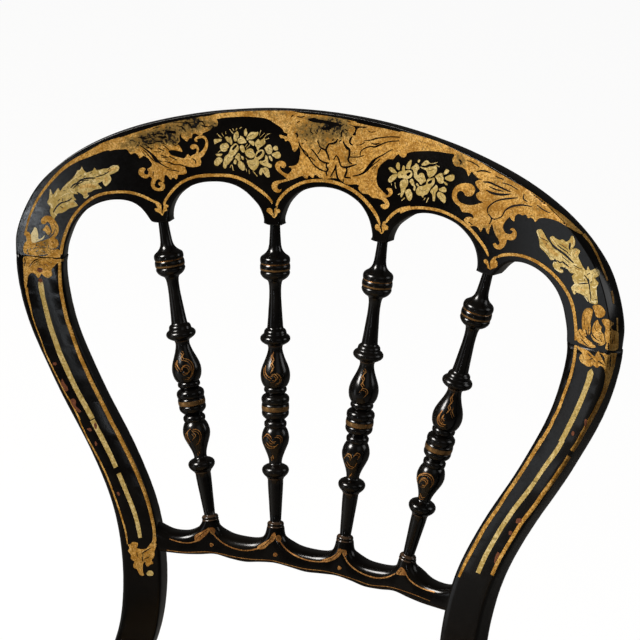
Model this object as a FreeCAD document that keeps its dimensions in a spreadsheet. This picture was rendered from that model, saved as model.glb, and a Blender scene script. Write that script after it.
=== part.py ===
"""Stenciled painted side chair: balloon back, four turned spindles, caned seat, turned front legs."""
import FreeCAD, Part
import math
import os

import Sketcher

from FreeCAD import Placement, Rotation, Vector

os.makedirs("parts", exist_ok=True)
doc = FreeCAD.newDocument("SideChair")

# Driving sizes in millimetres, angles in degrees
SIZES = {
    "seat_height": 440.0,
    "joint_height": 295.0,
    "crest_rise": 112.6,
    "waist_drop": 190.0,
    "back_half_width": 201.0,
    "post_face_width": 27.4,
    "waist_half_width": 124.0,
    "back_rake": 10.0,
    "bow_radius": 625.0,
    "back_face_offset": 5.5,
    "back_thickness": 18.0,
    "back_front_edge": 2.0,
    "back_rear_edge": 5.0,
    "rail_face_offset": 5.0,
    "rail_thickness": 16.0,
    "rail_tenon_length": 9.0,
    "rail_tenon_radius": 4.0,
    "rail_joint_drop": 178.0,
    "rail_scallop_drop": 172.0,
    "rail_bottom_drop": 186.0,
    "rail_top_edge": 2.5,
    "peak_half_width": 5.2,
    "spindle_bead_radius": 9.2,
    "spindle_tenon_length": 12.0,
    "spindle_tenon_radius": 2.8,
    "outer_spindle_top": 111.5,
    "outer_spindle_foot": 69.4,
    "inner_spindle_top": 37.0,
    "inner_spindle_foot": 24.4,
    "outer_cusp_rise": 31.4,
    "inner_cusp_rise": 38.6,
    "outer_peak_drop": 162.5,
    "inner_peak_drop": 159.5,
    "dowel_radius": 4.0,
    "dowel_length": 36.0,
    "seat_thickness": 26.0,
    "seat_front_depth": 402.0,
    "seat_half_width": 206.0,
    "front_rail_depth": 77.0,
    "seat_rail_edge": 8.0,
    "rear_rail_front": 56.0,
    "rear_rail_back": 3.0,
    "rear_rail_half": 119.0,
    "post_front_face": 25.0,
    "opening_rear_radius": 24.0,
    "opening_front_radius": 42.0,
    "cane_rebate_width": 9.0,
    "cane_rebate_depth": 2.2,
    "cane_edge_gap": 0.3,
    "cane_thickness": 1.2,
    "cane_spline_width": 5.0,
    "cane_spline_height": 1.6,
    "seat_tenon_length": 10.0,
    "seat_tenon_width": 8.0,
    "seat_tenon_height": 14.0,
    "front_leg_inset": 30.0,
    "front_leg_setback": 50.0,
    "front_leg_radius": 19.0,
    "front_leg_tenon_radius": 9.5,
    "front_leg_tenon_length": 16.0,
    "rear_foot_x": 160.0,
    "rear_foot_sweep": 66.0,
    "rear_leg_width": 24.0,
    "rear_leg_depth": 28.0,
    "rear_foot_width": 20.0,
    "stretcher_radius": 9.0,
    "stretcher_tenon_depth": 9.0,
    "front_stretcher_upper_height": 252.0,
    "front_stretcher_lower_height": 150.0,
    "side_stretcher_upper_height": 226.0,
    "side_stretcher_lower_height": 126.0,
    "rear_stretcher_height": 190.0,
    "fit_clearance": 0.1,
    "cut_overrun": 30.0,
}

sheet = doc.addObject("Spreadsheet::Sheet", "Sizes")
for row, (alias, value) in enumerate(SIZES.items(), start=1):
    sheet.set("A%d" % row, alias)
    sheet.set("B%d" % row, str(value))
    sheet.setAlias("B%d" % row, alias)
doc.recompute()


def size(name):
    """The value that the sheet holds for one size."""
    return float(getattr(sheet, name))


worked_out = doc.addObject("Spreadsheet::Sheet", "WorkedOut")


def keep_length(name, value):
    """Write a length that follows from the sizes into the second sheet and name it."""
    row = len(worked_out.getUsedCells()) + 1
    worked_out.set("A%d" % row, repr(value))
    worked_out.setAlias("A%d" % row, name)
    worked_out.recompute()
    return "WorkedOut." + name


RAKE = math.radians(size("back_rake"))
BOW = size("bow_radius")
FACE = size("back_face_offset")
THICK = size("back_thickness")
BACK = FACE - THICK
CLEAR = size("fit_clearance")
OVER = size("cut_overrun")
SEAT = size("seat_height")
DEPTH_DIRECTION = Vector(0, math.cos(RAKE), -math.sin(RAKE))
UP_DIRECTION = Vector(0, math.sin(RAKE), math.cos(RAKE))


def back_point(face_x, rise, depth):
    """A point of the bowed and raked back, from its place on the front face, its rise and its depth."""
    angle = math.asin(face_x / (BOW - FACE))
    radius = BOW - depth
    sideways = radius * math.sin(angle)
    forward = BOW - radius * math.cos(angle)
    along = size("joint_height") + rise
    y = along * math.sin(RAKE) - forward * math.cos(RAKE)
    z = SEAT + along * math.cos(RAKE) + forward * math.sin(RAKE)
    return Vector(sideways, y, z)


def axis_point(x, rise):
    """A point on the spindle surface, midway in the bow."""
    radius = BOW
    angle = math.asin(x / radius)
    forward = BOW - radius * math.cos(angle)
    along = size("joint_height") + rise
    y = along * math.sin(RAKE) - forward * math.cos(RAKE)
    z = SEAT + along * math.cos(RAKE) + forward * math.sin(RAKE)
    return Vector(radius * math.sin(angle), y, z)


def rounded_section(corners):
    """A closed wire through two front and two rear corner points, each corner rounded."""
    front, rear = size("back_front_edge"), size("back_rear_edge")
    radii = [front, front, rear, rear]
    edges = []
    starts = []
    ends = []
    middles = []
    for i in range(4):
        here = corners[i]
        before = corners[i - 1]
        after = corners[(i + 1) % 4]
        to_before = (before - here).normalize()
        to_after = (after - here).normalize()
        start = here + to_before * radii[i]
        end = here + to_after * radii[i]
        bulge = (to_before + to_after) * (radii[i] * (1 - math.sqrt(0.5)))
        starts.append(start)
        ends.append(end)
        middles.append(here + bulge)
    for i in range(4):
        edges.append(Part.Arc(starts[i], middles[i], ends[i]).toShape())
        edges.append(Part.LineSegment(ends[i], starts[(i + 1) % 4]).toShape())
    return Part.Wire(edges)


def spline_edge(points):
    """One smooth edge through the points."""
    curve = Part.BSplineCurve()
    curve.interpolate(points)
    return curve.toShape()


# Back posts, from the crest joint down to the floor, as outer shares, inner shares and drops
POST_OUTER_SHARES = [
    (0.000, 1.000), (0.063, 0.995), (0.126, 0.983), (0.242, 0.948), (0.363, 0.895), (0.484, 0.836),
    (0.605, 0.770), (0.711, 0.717), (0.842, 0.664), (1.000, 0.628), (1.184, 0.616), (1.368, 0.646),
]
POST_WIDTH_SHARES = [1.088, 1.055, 1.044, 1.015, 1.0, 1.0, 1.0, 0.99, 0.98, 0.96, 0.93, 0.90]
LEG_SHARES = [
    (1.000, -0.152, 0.12), (0.920, -0.189, 0.25), (0.795, -0.136, 0.42), (0.590, 0.091, 0.60),
    (0.364, 0.409, 0.78), (0.160, 0.727, 0.92), (0.000, 1.000, 1.00),
]


LEG_STEPS = 12


def post_top_center_x():
    """Sideways place of the post where it meets the seat."""
    return 0.664 * size("back_half_width")


def leg_center(height):
    """Centre of the rear leg at a height between the floor and the seat, on a smooth line."""
    share = height / SEAT
    rows = LEG_SHARES
    for index in range(len(rows) - 1):
        upper, lower = rows[index], rows[index + 1]
        if lower[0] <= share <= upper[0]:
            above = rows[max(index - 1, 0)]
            below = rows[min(index + 2, len(rows) - 1)]
            span = upper[0] - lower[0]
            t = (upper[0] - share) / span
            values = []
            for part in (1, 2):
                start = (lower[part] - above[part]) / (above[0] - lower[0]) * span
                finish = (below[part] - upper[part]) / (upper[0] - below[0]) * span
                values.append(
                    (2 * t ** 3 - 3 * t ** 2 + 1) * upper[part] + (t ** 3 - 2 * t ** 2 + t) * start
                    + (3 * t ** 2 - 2 * t ** 3) * lower[part] + (t ** 3 - t ** 2) * finish
                )
            sweep, splay = values
            x = post_top_center_x() + (size("rear_foot_x") - post_top_center_x()) * splay
            return Vector(x, sweep * size("rear_foot_sweep"), height)
    raise ValueError("height outside the leg")


def post_blank(grow):
    """The whole post as a loft through rounded sections, grown by a clearance all round."""
    sections = []
    for (drop_share, x_share), width_share in zip(POST_OUTER_SHARES, POST_WIDTH_SHARES):
        rise = -drop_share * size("waist_drop")
        outer = x_share * size("back_half_width") + grow
        inner = x_share * size("back_half_width") - width_share * size("post_face_width") - grow
        corners = [
            back_point(inner, rise, FACE + grow), back_point(outer, rise, FACE + grow),
            back_point(outer, rise, BACK - grow), back_point(inner, rise, BACK - grow),
        ]
        sections.append(rounded_section(corners))
    for step in range(LEG_STEPS + 1):
        center = leg_center(SEAT * (LEG_STEPS - step) / LEG_STEPS)
        taper = 1.0 - (1.0 - size("rear_foot_width") / size("rear_leg_width")) * step / LEG_STEPS
        half_x = size("rear_leg_width") / 2 * taper + grow
        half_y = size("rear_leg_depth") / 2 * taper + grow
        corners = [
            center + Vector(-half_x, -half_y, 0), center + Vector(half_x, -half_y, 0),
            center + Vector(half_x, half_y, 0), center + Vector(-half_x, half_y, 0),
        ]
        sections.append(rounded_section(corners))
    return Part.makeLoft(sections, True, False)


def cylinder_between(start, end, radius):
    """A round bar from one point to another."""
    return Part.makeCylinder(radius, (end - start).Length, start, end - start)


def add_feature(label, shape):
    """A sub-part whose shape is made from curves that pass through named points."""
    item = doc.addObject("Part::Feature", label)
    item.Label = label
    item.Shape = shape
    item.Placement = Placement()
    return item


# Crest rail: stations from the joint up to the middle, as inner and outer points on the face
CREST_INNER_SHARES = [
    (0.852, 0.000), (0.846, 0.053), (0.811, 0.110), (0.756, 0.169), (0.686, 0.222), (0.607, 0.265),
    (0.517, 0.286), (0.398, 0.311), (0.269, 0.336), (0.134, 0.347), (0.000, 0.350),
]
CREST_OUTER_SHARES = [
    (1.000, 0.000), (1.000, 0.126), (0.977, 0.279), (0.937, 0.425), (0.876, 0.547), (0.765, 0.693),
    (0.645, 0.796), (0.488, 0.887), (0.341, 0.945), (0.168, 0.988), (0.000, 1.000),
]
CREST_THICKNESS_SHARES = [1.00, 1.00, 1.00, 0.98, 0.95, 0.91, 0.87, 0.82, 0.77, 0.73, 0.72]
# Edges of the five arches, by the same two sizes
ARCH_OUTER_SHARES = [
    (0.853, -0.002), (0.850, 0.062), (0.840, 0.133), (0.827, 0.200), (0.8025, 0.268), (0.768, 0.3215),
    (0.734, 0.3526), (0.7015, 0.3686), (0.668, 0.371), (0.639, 0.362), (0.618, 0.343), (0.601, 0.315),
    (0.587, 0.279), (0.584, 0.240),
]
ARCH_MIDDLE_SHARES = [
    (0.526, 0.240), (0.525, 0.293), (0.5225, 0.3375), (0.5155, 0.382), (0.5025, 0.4245), (0.4825, 0.462),
    (0.450, 0.5027), (0.418, 0.525), (0.3806, 0.537), (0.348, 0.540), (0.3134, 0.530), (0.280, 0.506),
    (0.250, 0.465), (0.228, 0.426), (0.216, 0.389), (0.210, 0.355), (0.208, 0.320),
]
ARCH_CENTER_SHARES = [
    (0.157, 0.320), (0.158, 0.355), (0.154, 0.391), (0.148, 0.426), (0.139, 0.462), (0.125, 0.497),
    (0.1055, 0.533), (0.070, 0.567), (0.035, 0.584), (0.000, 0.590),
]


def crest_blank():
    """The bent crest board before its arches are sawn."""
    width = size("back_half_width")
    rise = size("crest_rise")
    half = []
    for inner, outer, share in zip(CREST_INNER_SHARES, CREST_OUTER_SHARES, CREST_THICKNESS_SHARES):
        back = FACE - share * THICK
        half.append((inner[0] * width, inner[1] * rise, outer[0] * width, outer[1] * rise, back))
    stations = half + [(-a, b, -c, d, e) for a, b, c, d, e in reversed(half[:-1])]
    sections = []
    for inner_x, inner_rise, outer_x, outer_rise, back in stations:
        corners = [
            back_point(inner_x, inner_rise, FACE), back_point(outer_x, outer_rise, FACE),
            back_point(outer_x, outer_rise, back), back_point(inner_x, inner_rise, back),
        ]
        sections.append(rounded_section(corners))
    return Part.makeLoft(sections, True, False)


def arch_section(spots, middle, outward, reach):
    """A flat closed wire through the spots, where their radial lines meet one plane of an arch."""
    points = []
    for x, rise in spots:
        near = back_point(x, rise, FACE)
        toward = near - back_point(x, rise, BACK)
        distance = reach - (near - middle).dot(outward)
        points.append(near + toward * (distance / toward.dot(outward)))
    drop = UP_DIRECTION * (size("inner_cusp_rise") + OVER)
    edges = [spline_edge(points)]
    corners = [points[-1], points[-1] - drop, points[0] - drop, points[0]]
    for start, end in zip(corners, corners[1:]):
        edges.append(Part.LineSegment(start, end).toShape())
    return Part.Wire(edges)


def arch_cutter(spots):
    """A solid that saws one arch square to the bent board."""
    xs = [x for x, _ in spots]
    middle = back_point((min(xs) + max(xs)) / 2, 0, FACE)
    outward = (middle - back_point((min(xs) + max(xs)) / 2, 0, BACK)).normalize()
    front = arch_section(spots, middle, outward, OVER)
    rear = arch_section(spots, middle, outward, -THICK - OVER)
    return Part.makeLoft([rear, front], True, True)


def crest_arches():
    """The five arch cutters, from the left joint to the right one."""
    width = size("back_half_width")
    rise = size("crest_rise")
    cutters = []
    for shares in (ARCH_OUTER_SHARES, ARCH_MIDDLE_SHARES):
        for side in (1, -1):
            cutters.append(arch_cutter([(side * x * width, v * rise) for x, v in shares]))
    center = ARCH_CENTER_SHARES + [(-x, v) for x, v in reversed(ARCH_CENTER_SHARES[:-1])]
    cutters.append(arch_cutter([(x * width, v * rise) for x, v in center]))
    return cutters


def plane_point(rise, depth):
    """A point on the middle line of the back, at a rise and a depth in front of it."""
    along = size("joint_height") + rise
    y = along * math.sin(RAKE) - depth * math.cos(RAKE)
    z = SEAT + along * math.cos(RAKE) + depth * math.sin(RAKE)
    return Vector(0, y, z)


def bow_depth():
    """How far the ends of the back come forward of its middle, with the overrun."""
    half = size("back_half_width")
    return BOW - math.sqrt(BOW * BOW - half * half) + FACE + OVER


# Lower back rail: scallops between the spindle feet, with a wavy underside
SCALLOP_SHARES = [
    (0.00, 0.00), (0.02, 0.30), (0.07, 0.56), (0.19, 0.78), (0.38, 0.91), (0.64, 0.98), (1.00, 1.00),
]
END_SCALLOP_SHARES = [
    (0.00, 0.00), (0.012, 0.30), (0.045, 0.58), (0.12, 0.82), (0.25, 0.96), (0.45, 1.04), (0.62, 1.05),
    (0.80, 0.98), (1.00, 0.78),
]
UNDERSIDE_SHARES = [
    (1.000, 1.012), (0.910, 1.010), (0.800, 1.008), (0.700, 1.000), (0.600, 0.989), (0.500, 0.996),
    (0.400, 0.999), (0.300, 0.990), (0.210, 0.983), (0.110, 0.987), (0.000, 0.992),
]


def rail_half_length():
    """Half the lower rail with the ends that run into the posts."""
    return size("waist_half_width") - size("post_face_width") / 2


def rail_outline():
    """Edges of the lower rail, seen square to the back."""
    reach = bow_depth()
    ratio = (BOW - size("rail_face_offset")) / BOW
    inner = size("inner_spindle_foot") * ratio
    outer = size("outer_spindle_foot") * ratio
    half = size("peak_half_width")
    low = size("rail_scallop_drop")
    end = rail_half_length()
    inner_drop = size("inner_peak_drop")
    outer_drop = size("outer_peak_drop")

    def scallop(start, start_drop, finish, finish_drop):
        """One hollow between two feet, drawn from both sides to its middle."""
        middle = (start + finish) / 2
        row = []
        for along, deep in SCALLOP_SHARES:
            x = start + (middle - start) * along
            row.append(plane_point(-(start_drop + (low - start_drop) * deep), reach) + Vector(x, 0, 0))
        for along, deep in reversed(SCALLOP_SHARES[:-1]):
            x = finish + (middle - finish) * along
            row.append(plane_point(-(finish_drop + (low - finish_drop) * deep), reach) + Vector(x, 0, 0))
        return row

    def end_scallop(side):
        """The hollow between the outer foot and the post."""
        row = []
        for along, deep in END_SCALLOP_SHARES:
            x = outer + half + (end - outer - half) * along
            drop = outer_drop + (low - outer_drop) * deep
            row.append(plane_point(-drop, reach) + Vector(side * x, 0, 0))
        return row

    hollows = [
        list(reversed(end_scallop(-1))),
        scallop(-outer + half, outer_drop, -inner - half, inner_drop),
        scallop(-inner + half, inner_drop, inner - half, inner_drop),
        scallop(inner + half, inner_drop, outer - half, outer_drop),
        end_scallop(1),
    ]
    under = []
    for x_share, drop_share in UNDERSIDE_SHARES:
        under.append(plane_point(-drop_share * size("rail_bottom_drop"), reach) + Vector(x_share * end, 0, 0))
    for x_share, drop_share in reversed(UNDERSIDE_SHARES[:-1]):
        under.append(plane_point(-drop_share * size("rail_bottom_drop"), reach) + Vector(-x_share * end, 0, 0))
    edges = []
    for index, row in enumerate(hollows):
        edges.append(spline_edge(row))
        following = hollows[index + 1][0] if index + 1 < len(hollows) else under[0]
        edges.append(Part.LineSegment(row[-1], following).toShape())
    edges.append(spline_edge(under))
    edges.append(Part.LineSegment(under[-1], hollows[0][0]).toShape())
    return edges


def bow_shell(front, back):
    """The bent slab between two depths of the back."""
    low = -(size("joint_height") + OVER)
    center = plane_point(low, BOW)
    height = size("joint_height") + size("crest_rise") + OVER + OVER
    outer = Part.makeCylinder(BOW - back, height, center, UP_DIRECTION)
    inner = Part.makeCylinder(BOW - front, height, center, UP_DIRECTION)
    return outer.cut(inner)


def lower_rail_blank():
    """The scalloped and bent lower rail, still running into the posts."""
    face = Part.Face(Part.Wire(rail_outline()))
    bar = face.extrude(DEPTH_DIRECTION * (bow_depth() + THICK + OVER))
    front = size("rail_face_offset")
    bar = bar.common(bow_shell(front, front - size("rail_thickness")))
    crest_line = size("joint_height") - (size("rail_scallop_drop") + size("rail_bottom_drop")) / 2
    upper = []
    for edge in bar.Edges:
        middle = edge.valueAt((edge.FirstParameter + edge.LastParameter) / 2)
        along = (middle - Vector(0, 0, SEAT)).dot(UP_DIRECTION)
        if edge.Length > size("inner_spindle_foot") and along > crest_line:
            upper.append(edge)
    return bar.makeFillet(size("rail_top_edge"), upper)


def rail_tenon_line(side):
    """Start and end of the round tenon that joins the lower rail to a post."""
    depth = size("rail_face_offset") - size("rail_thickness") / 2
    drop = -size("rail_joint_drop")
    inside = size("waist_half_width") - size("post_face_width") / 2
    start = back_point(side * (inside - size("post_face_width")), drop, depth)
    middle = back_point(side * inside, drop, depth)
    return start, middle


# Turned spindles: height shares and radius shares from the foot to the cusp
SPINDLE_SHARES = [
    (0.000, 0.545), (0.007, 0.500), (0.012, 0.535), (0.019, 0.351), (0.087, 0.426), (0.159, 0.493),
    (0.167, 0.580), (0.175, 0.760), (0.190, 0.855), (0.204, 0.720), (0.213, 0.412), (0.241, 0.507),
    (0.267, 0.716), (0.281, 0.818), (0.301, 0.872), (0.320, 0.800), (0.332, 0.655), (0.341, 0.710),
    (0.350, 0.650), (0.356, 0.560), (0.364, 0.720), (0.375, 0.840), (0.385, 0.858), (0.388, 0.820),
    (0.394, 0.868), (0.410, 0.868), (0.413, 0.815), (0.420, 0.882), (0.433, 0.860), (0.444, 0.690),
    (0.449, 0.555), (0.456, 0.700), (0.467, 0.672), (0.479, 0.800), (0.502, 0.930), (0.526, 0.885),
    (0.554, 0.676), (0.581, 0.493), (0.601, 0.446), (0.609, 0.600), (0.620, 0.900), (0.631, 0.943),
    (0.641, 0.830), (0.649, 0.700), (0.660, 0.560), (0.694, 0.459), (0.734, 0.412), (0.780, 0.372),
    (0.814, 0.430), (0.820, 0.600), (0.830, 0.900), (0.840, 0.990), (0.846, 0.932), (0.854, 0.995),
    (0.863, 0.985), (0.867, 0.925), (0.874, 0.990), (0.884, 0.970), (0.893, 0.800), (0.899, 0.600),
    (0.906, 0.445), (0.955, 0.345), (1.000, 0.318),
]
FRONT_LEG_SHARES = [
    (0.000, 0.46), (0.008, 0.48), (0.020, 0.56), (0.035, 0.60), (0.050, 0.56), (0.062, 0.44),
    (0.070, 0.385), (0.100, 0.40), (0.200, 0.48), (0.236, 0.50), (0.242, 0.60), (0.250, 0.66),
    (0.258, 0.60), (0.264, 0.50), (0.270, 0.56), (0.290, 0.64), (0.330, 0.68), (0.370, 0.68),
    (0.410, 0.62), (0.440, 0.56), (0.456, 0.56), (0.462, 0.66), (0.470, 0.72), (0.478, 0.66),
    (0.484, 0.56), (0.490, 0.64), (0.510, 0.74), (0.550, 0.78), (0.600, 0.78), (0.650, 0.74),
    (0.665, 0.66), (0.680, 0.62), (0.692, 0.66), (0.698, 0.80), (0.707, 0.88), (0.716, 0.80),
    (0.722, 0.68), (0.730, 0.78), (0.750, 0.90), (0.775, 0.95), (0.800, 0.92), (0.830, 0.82),
    (0.860, 0.68), (0.885, 0.60), (0.905, 0.62), (0.914, 0.76), (0.919, 0.90), (0.928, 0.95),
    (0.937, 0.90), (0.942, 0.80), (0.947, 0.92), (0.957, 1.00), (0.967, 0.92), (0.972, 0.80),
    (0.976, 0.88), (0.985, 0.90), (1.000, 0.86),
]
RINGED_STRETCHER_SHARES = [
    (0.00, 0.61), (0.10, 0.68), (0.24, 0.86), (0.31, 0.90), (0.33, 0.82), (0.335, 0.70), (0.342, 0.88),
    (0.352, 0.97), (0.362, 0.88), (0.369, 0.72), (0.385, 0.64), (0.41, 0.74), (0.44, 0.92), (0.455, 0.97),
    (0.47, 0.90), (0.476, 0.80), (0.484, 0.95), (0.50, 1.04),
]
PLAIN_STRETCHER_SHARES = [
    (0.00, 0.61), (0.10, 0.67), (0.22, 0.80), (0.34, 0.91), (0.43, 0.97), (0.455, 0.97), (0.46, 0.88),
    (0.47, 0.99), (0.50, 1.06),
]


def turning(label, rows, placement):
    """A turned piece: rows hold the expression and value of each radius and height, foot first."""
    body = doc.addObject("PartDesign::Body", label + "_body")
    sketch = body.newObject("Sketcher::SketchObject", label + "_profile")
    plane = [item for item in body.Origin.OriginFeatures if item.Role == "XZ_Plane"][0]
    sketch.AttachmentSupport = [(plane, "")]
    sketch.MapMode = "FlatFace"
    points = [Vector(radius, height, 0) for _, radius, _, height in rows]
    lines = [Part.LineSegment(a, b) for a, b in zip(points, points[1:])]
    lines.append(Part.LineSegment(points[-1], Vector(0, points[-1].y, 0)))
    lines.append(Part.LineSegment(Vector(0, points[-1].y, 0), Vector(0, points[0].y, 0)))
    lines.append(Part.LineSegment(Vector(0, points[0].y, 0), points[0]))
    sketch.addGeometry(lines, False)
    count = len(lines)
    links = [Sketcher.Constraint("Coincident", i, 2, (i + 1) % count, 1) for i in range(count)]
    links.append(Sketcher.Constraint("PointOnObject", count - 2, 1, -2))
    links.append(Sketcher.Constraint("PointOnObject", count - 2, 2, -2))
    links.append(Sketcher.Constraint("Horizontal", count - 3))
    links.append(Sketcher.Constraint("Horizontal", count - 1))
    sketch.addConstraint(links)
    measures = []
    for i, (_, radius, _, height) in enumerate(rows):
        measures.append(Sketcher.Constraint("DistanceX", -1, 1, i, 1, radius))
        measures.append(Sketcher.Constraint("DistanceY", -1, 1, i, 1, height))
    first = len(links)
    sketch.addConstraint(measures)
    for i, (radius_text, _, height_text, _) in enumerate(rows):
        sketch.setExpression("Constraints[%d]" % (first + 2 * i), radius_text)
        sketch.setExpression("Constraints[%d]" % (first + 2 * i + 1), height_text)
    turned = body.newObject("PartDesign::Revolution", label + "_turning")
    turned.Profile = sketch
    turned.ReferenceAxis = (sketch, ["V_Axis"])
    turned.Angle = 360
    turned.Refine = False
    body.Tip = turned
    body.Placement = placement
    return body


def profile_rows(shares, radius_name, length_text, length, start):
    """Rows of a turned profile from its shares, beyond a plain tenon of the start length."""
    rows = []
    for height_share, radius_share in shares:
        rows.append((
            "Sizes.%s * %.4f" % (radius_name, radius_share),
            size(radius_name) * radius_share,
            "%s + %s * %.4f" % (start[0], length_text, height_share),
            start[1] + length * height_share,
        ))
    return rows


def tenon_row(radius_text, radius, height_text, height):
    """One corner of a plain tenon at the end of a turned piece."""
    return (radius_text, radius, height_text, height)


def along(start, toward):
    """Placement that stands a turned piece on a point and points it along a direction."""
    return Placement(start, Rotation(Vector(0, 0, 1), toward))


SPINDLES = [
    ("spindle_1", -size("outer_spindle_top"), size("outer_cusp_rise"), -size("outer_spindle_foot"),
     -size("outer_peak_drop")),
    ("spindle_2", -size("inner_spindle_top"), size("inner_cusp_rise"), -size("inner_spindle_foot"),
     -size("inner_peak_drop")),
    ("spindle_3", size("inner_spindle_top"), size("inner_cusp_rise"), size("inner_spindle_foot"),
     -size("inner_peak_drop")),
    ("spindle_4", size("outer_spindle_top"), size("outer_cusp_rise"), size("outer_spindle_foot"),
     -size("outer_peak_drop")),
]


def spindle_rows(label, length):
    """Profile of a spindle of one visible length, with a round tenon at each end."""
    length_text = keep_length(label + "_length", length)
    tenon = size("spindle_tenon_length")
    radius = size("spindle_tenon_radius")
    name = "Sizes.spindle_tenon_length"
    rows = [tenon_row("Sizes.spindle_tenon_radius", radius, "0", 0.0)]
    rows.append(tenon_row("Sizes.spindle_tenon_radius", radius, name, tenon))
    rows += profile_rows(SPINDLE_SHARES, "spindle_bead_radius", length_text, length, (name, tenon))
    top_text = name + " + " + length_text
    rows.append(tenon_row("Sizes.spindle_tenon_radius", radius, top_text, tenon + length))
    rows.append(tenon_row("Sizes.spindle_tenon_radius", radius, top_text + " + " + name, 2 * tenon + length))
    return rows


def stretcher_rows(label, shares, length):
    """Profile of a stretcher, mirrored about its middle, that ends in its own tenons."""
    length_text = keep_length(label + "_length", length)
    whole = shares + [(1 - a, r) for a, r in reversed(shares[:-1])]
    rows = []
    for length_share, radius_share in whole:
        rows.append((
            "Sizes.stretcher_radius * %.4f" % radius_share,
            size("stretcher_radius") * radius_share,
            "%s * %.4f" % (length_text, length_share),
            length * length_share,
        ))
    return rows


# Outline of the seat frame and of its opening, as sideways and forward shares of the half
SEAT_OUTER_SHARES = [
    (0.709, 0.062), (0.738, 0.149), (0.816, 0.299), (0.893, 0.448), (0.956, 0.597), (0.990, 0.721),
    (1.000, 0.808), (0.976, 0.883), (0.903, 0.938), (0.777, 0.965), (0.583, 0.980), (0.291, 0.995),
    (0.000, 1.000),
]
OPENING_REAR_SHARES = (0.530, 0.1144)
OPENING_SIDE_SHARES = (0.680, 0.500)
OPENING_FRONT_SHARES = (0.790, 0.868)
OPENING_NOSE_SHARES = (0.000, 0.898)
SEAT_DOWEL_SHARES = [0.800, 0.925]


def seat_point(x_share, forward_share, height):
    """A point of the seat plan."""
    return Vector(x_share * size("seat_half_width"), -forward_share * size("seat_front_depth"), height)


def opening_prism(grow, bottom, height):
    """Solid over the seat opening, moved outward by a distance, with rounded corners."""
    right = [seat_point(x, f, bottom) for x, f in (OPENING_REAR_SHARES, OPENING_SIDE_SHARES, OPENING_FRONT_SHARES)]
    left = [Vector(-p.x, p.y, p.z) for p in right]
    nose = seat_point(*OPENING_NOSE_SHARES, bottom)
    wire = Part.Wire([
        Part.LineSegment(left[0], right[0]).toShape(), Part.Arc(*right).toShape(),
        Part.Arc(right[2], nose, left[2]).toShape(), Part.Arc(left[2], left[1], left[0]).toShape(),
    ])
    if grow > 0.0:
        wire = wire.makeOffset2D(grow, 2, False, False, False)
    prism = Part.Face(wire).extrude(Vector(0, 0, height))
    halfway = (right[0].y + right[2].y) / 2
    rear = []
    front = []
    for edge in prism.Edges:
        if abs(edge.BoundBox.ZLength - height) < CLEAR and edge.BoundBox.XLength < CLEAR:
            (front if edge.BoundBox.YMin < halfway else rear).append(edge)
    prism = prism.makeFillet(size("opening_rear_radius") + grow, rear)
    front = [edge for edge in prism.Edges if any(edge.isPartner(old) or (
        edge.BoundBox.Center - old.BoundBox.Center).Length < CLEAR for old in front)
        and edge.BoundBox.XLength < CLEAR and edge.BoundBox.ZLength > height / 2]
    return prism.makeFillet(size("opening_front_radius") + grow, front)


def seat_slab():
    """The seat frame before it is divided into rails, with rounded outer edges."""
    bottom = SEAT - size("seat_thickness")
    half = [seat_point(x, f, bottom) for x, f in SEAT_OUTER_SHARES]
    points = half + [Vector(-p.x, p.y, p.z) for p in reversed(half[:-1])]
    wire = Part.Wire([spline_edge(points), Part.LineSegment(points[-1], points[0]).toShape()])
    slab = Part.Face(wire).extrude(Vector(0, 0, size("seat_thickness")))
    outer = []
    for edge in slab.Edges:
        flat = abs(edge.BoundBox.ZLength) < size("seat_thickness") / 2
        if flat and edge.BoundBox.YLength > size("seat_front_depth") / 2:
            outer.append(edge)
    slab = slab.makeFillet(size("seat_rail_edge"), outer)
    overrun = OVER + size("seat_thickness")
    slab = slab.cut(opening_prism(0.0, bottom - OVER, overrun + OVER))
    rebate_floor = SEAT - size("cane_rebate_depth")
    return slab.cut(opening_prism(size("cane_rebate_width"), rebate_floor, OVER))


def block(x0, x1, y0, y1, z0, z1):
    """A box between two corners."""
    return Part.makeBox(x1 - x0, y1 - y0, z1 - z0, Vector(x0, y0, z0))


def mirrored(shape):
    """The same shape on the other side of the chair."""
    return shape.mirror(Vector(0, 0, 0), Vector(1, 0, 0))


def seat_tenons(grow):
    """Tenons of the right side rail and of the rear rail in the right post."""
    middle = SEAT - size("seat_thickness") / 2
    half_height = size("seat_tenon_height") / 2 + grow
    half_width = size("seat_tenon_width") / 2 + grow
    reach = size("seat_tenon_length") + grow
    center = leg_center(SEAT * LEG_SHARES[0][0] - size("seat_thickness") / 2)
    front = center.y - size("rear_leg_depth") / 2
    inner = center.x - size("rear_leg_width") / 2
    side = block(center.x - half_width, center.x + half_width, front - reach, front + reach,
                 middle - half_height, middle + half_height)
    rear_y = center.y + size("rear_leg_depth") / 2 - size("seat_tenon_width")
    rear = block(inner - reach, inner + reach, rear_y - half_width, rear_y + half_width,
                 middle - half_height, middle + half_height)
    return side, rear


# Places of the stretchers: axis ends in the legs
def front_leg_axis(side, height):
    """A point on the axis of a front leg."""
    x = size("seat_half_width") - size("front_leg_inset")
    y = size("front_leg_setback") - size("seat_front_depth")
    return Vector(side * x, y, height)


def rear_leg_axis(side, height):
    """A point on the centre line of a rear leg."""
    center = leg_center(height)
    return Vector(side * center.x, center.y, height)


def front_leg_radius_at(height):
    """Radius of the front leg at a height."""
    share = height / (SEAT - size("seat_thickness"))
    for lower, upper in zip(FRONT_LEG_SHARES, FRONT_LEG_SHARES[1:]):
        if lower[0] <= share <= upper[0]:
            blend = (share - lower[0]) / (upper[0] - lower[0])
            return (lower[1] + (upper[1] - lower[1]) * blend) * size("front_leg_radius")
    raise ValueError("height outside the leg")


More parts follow.
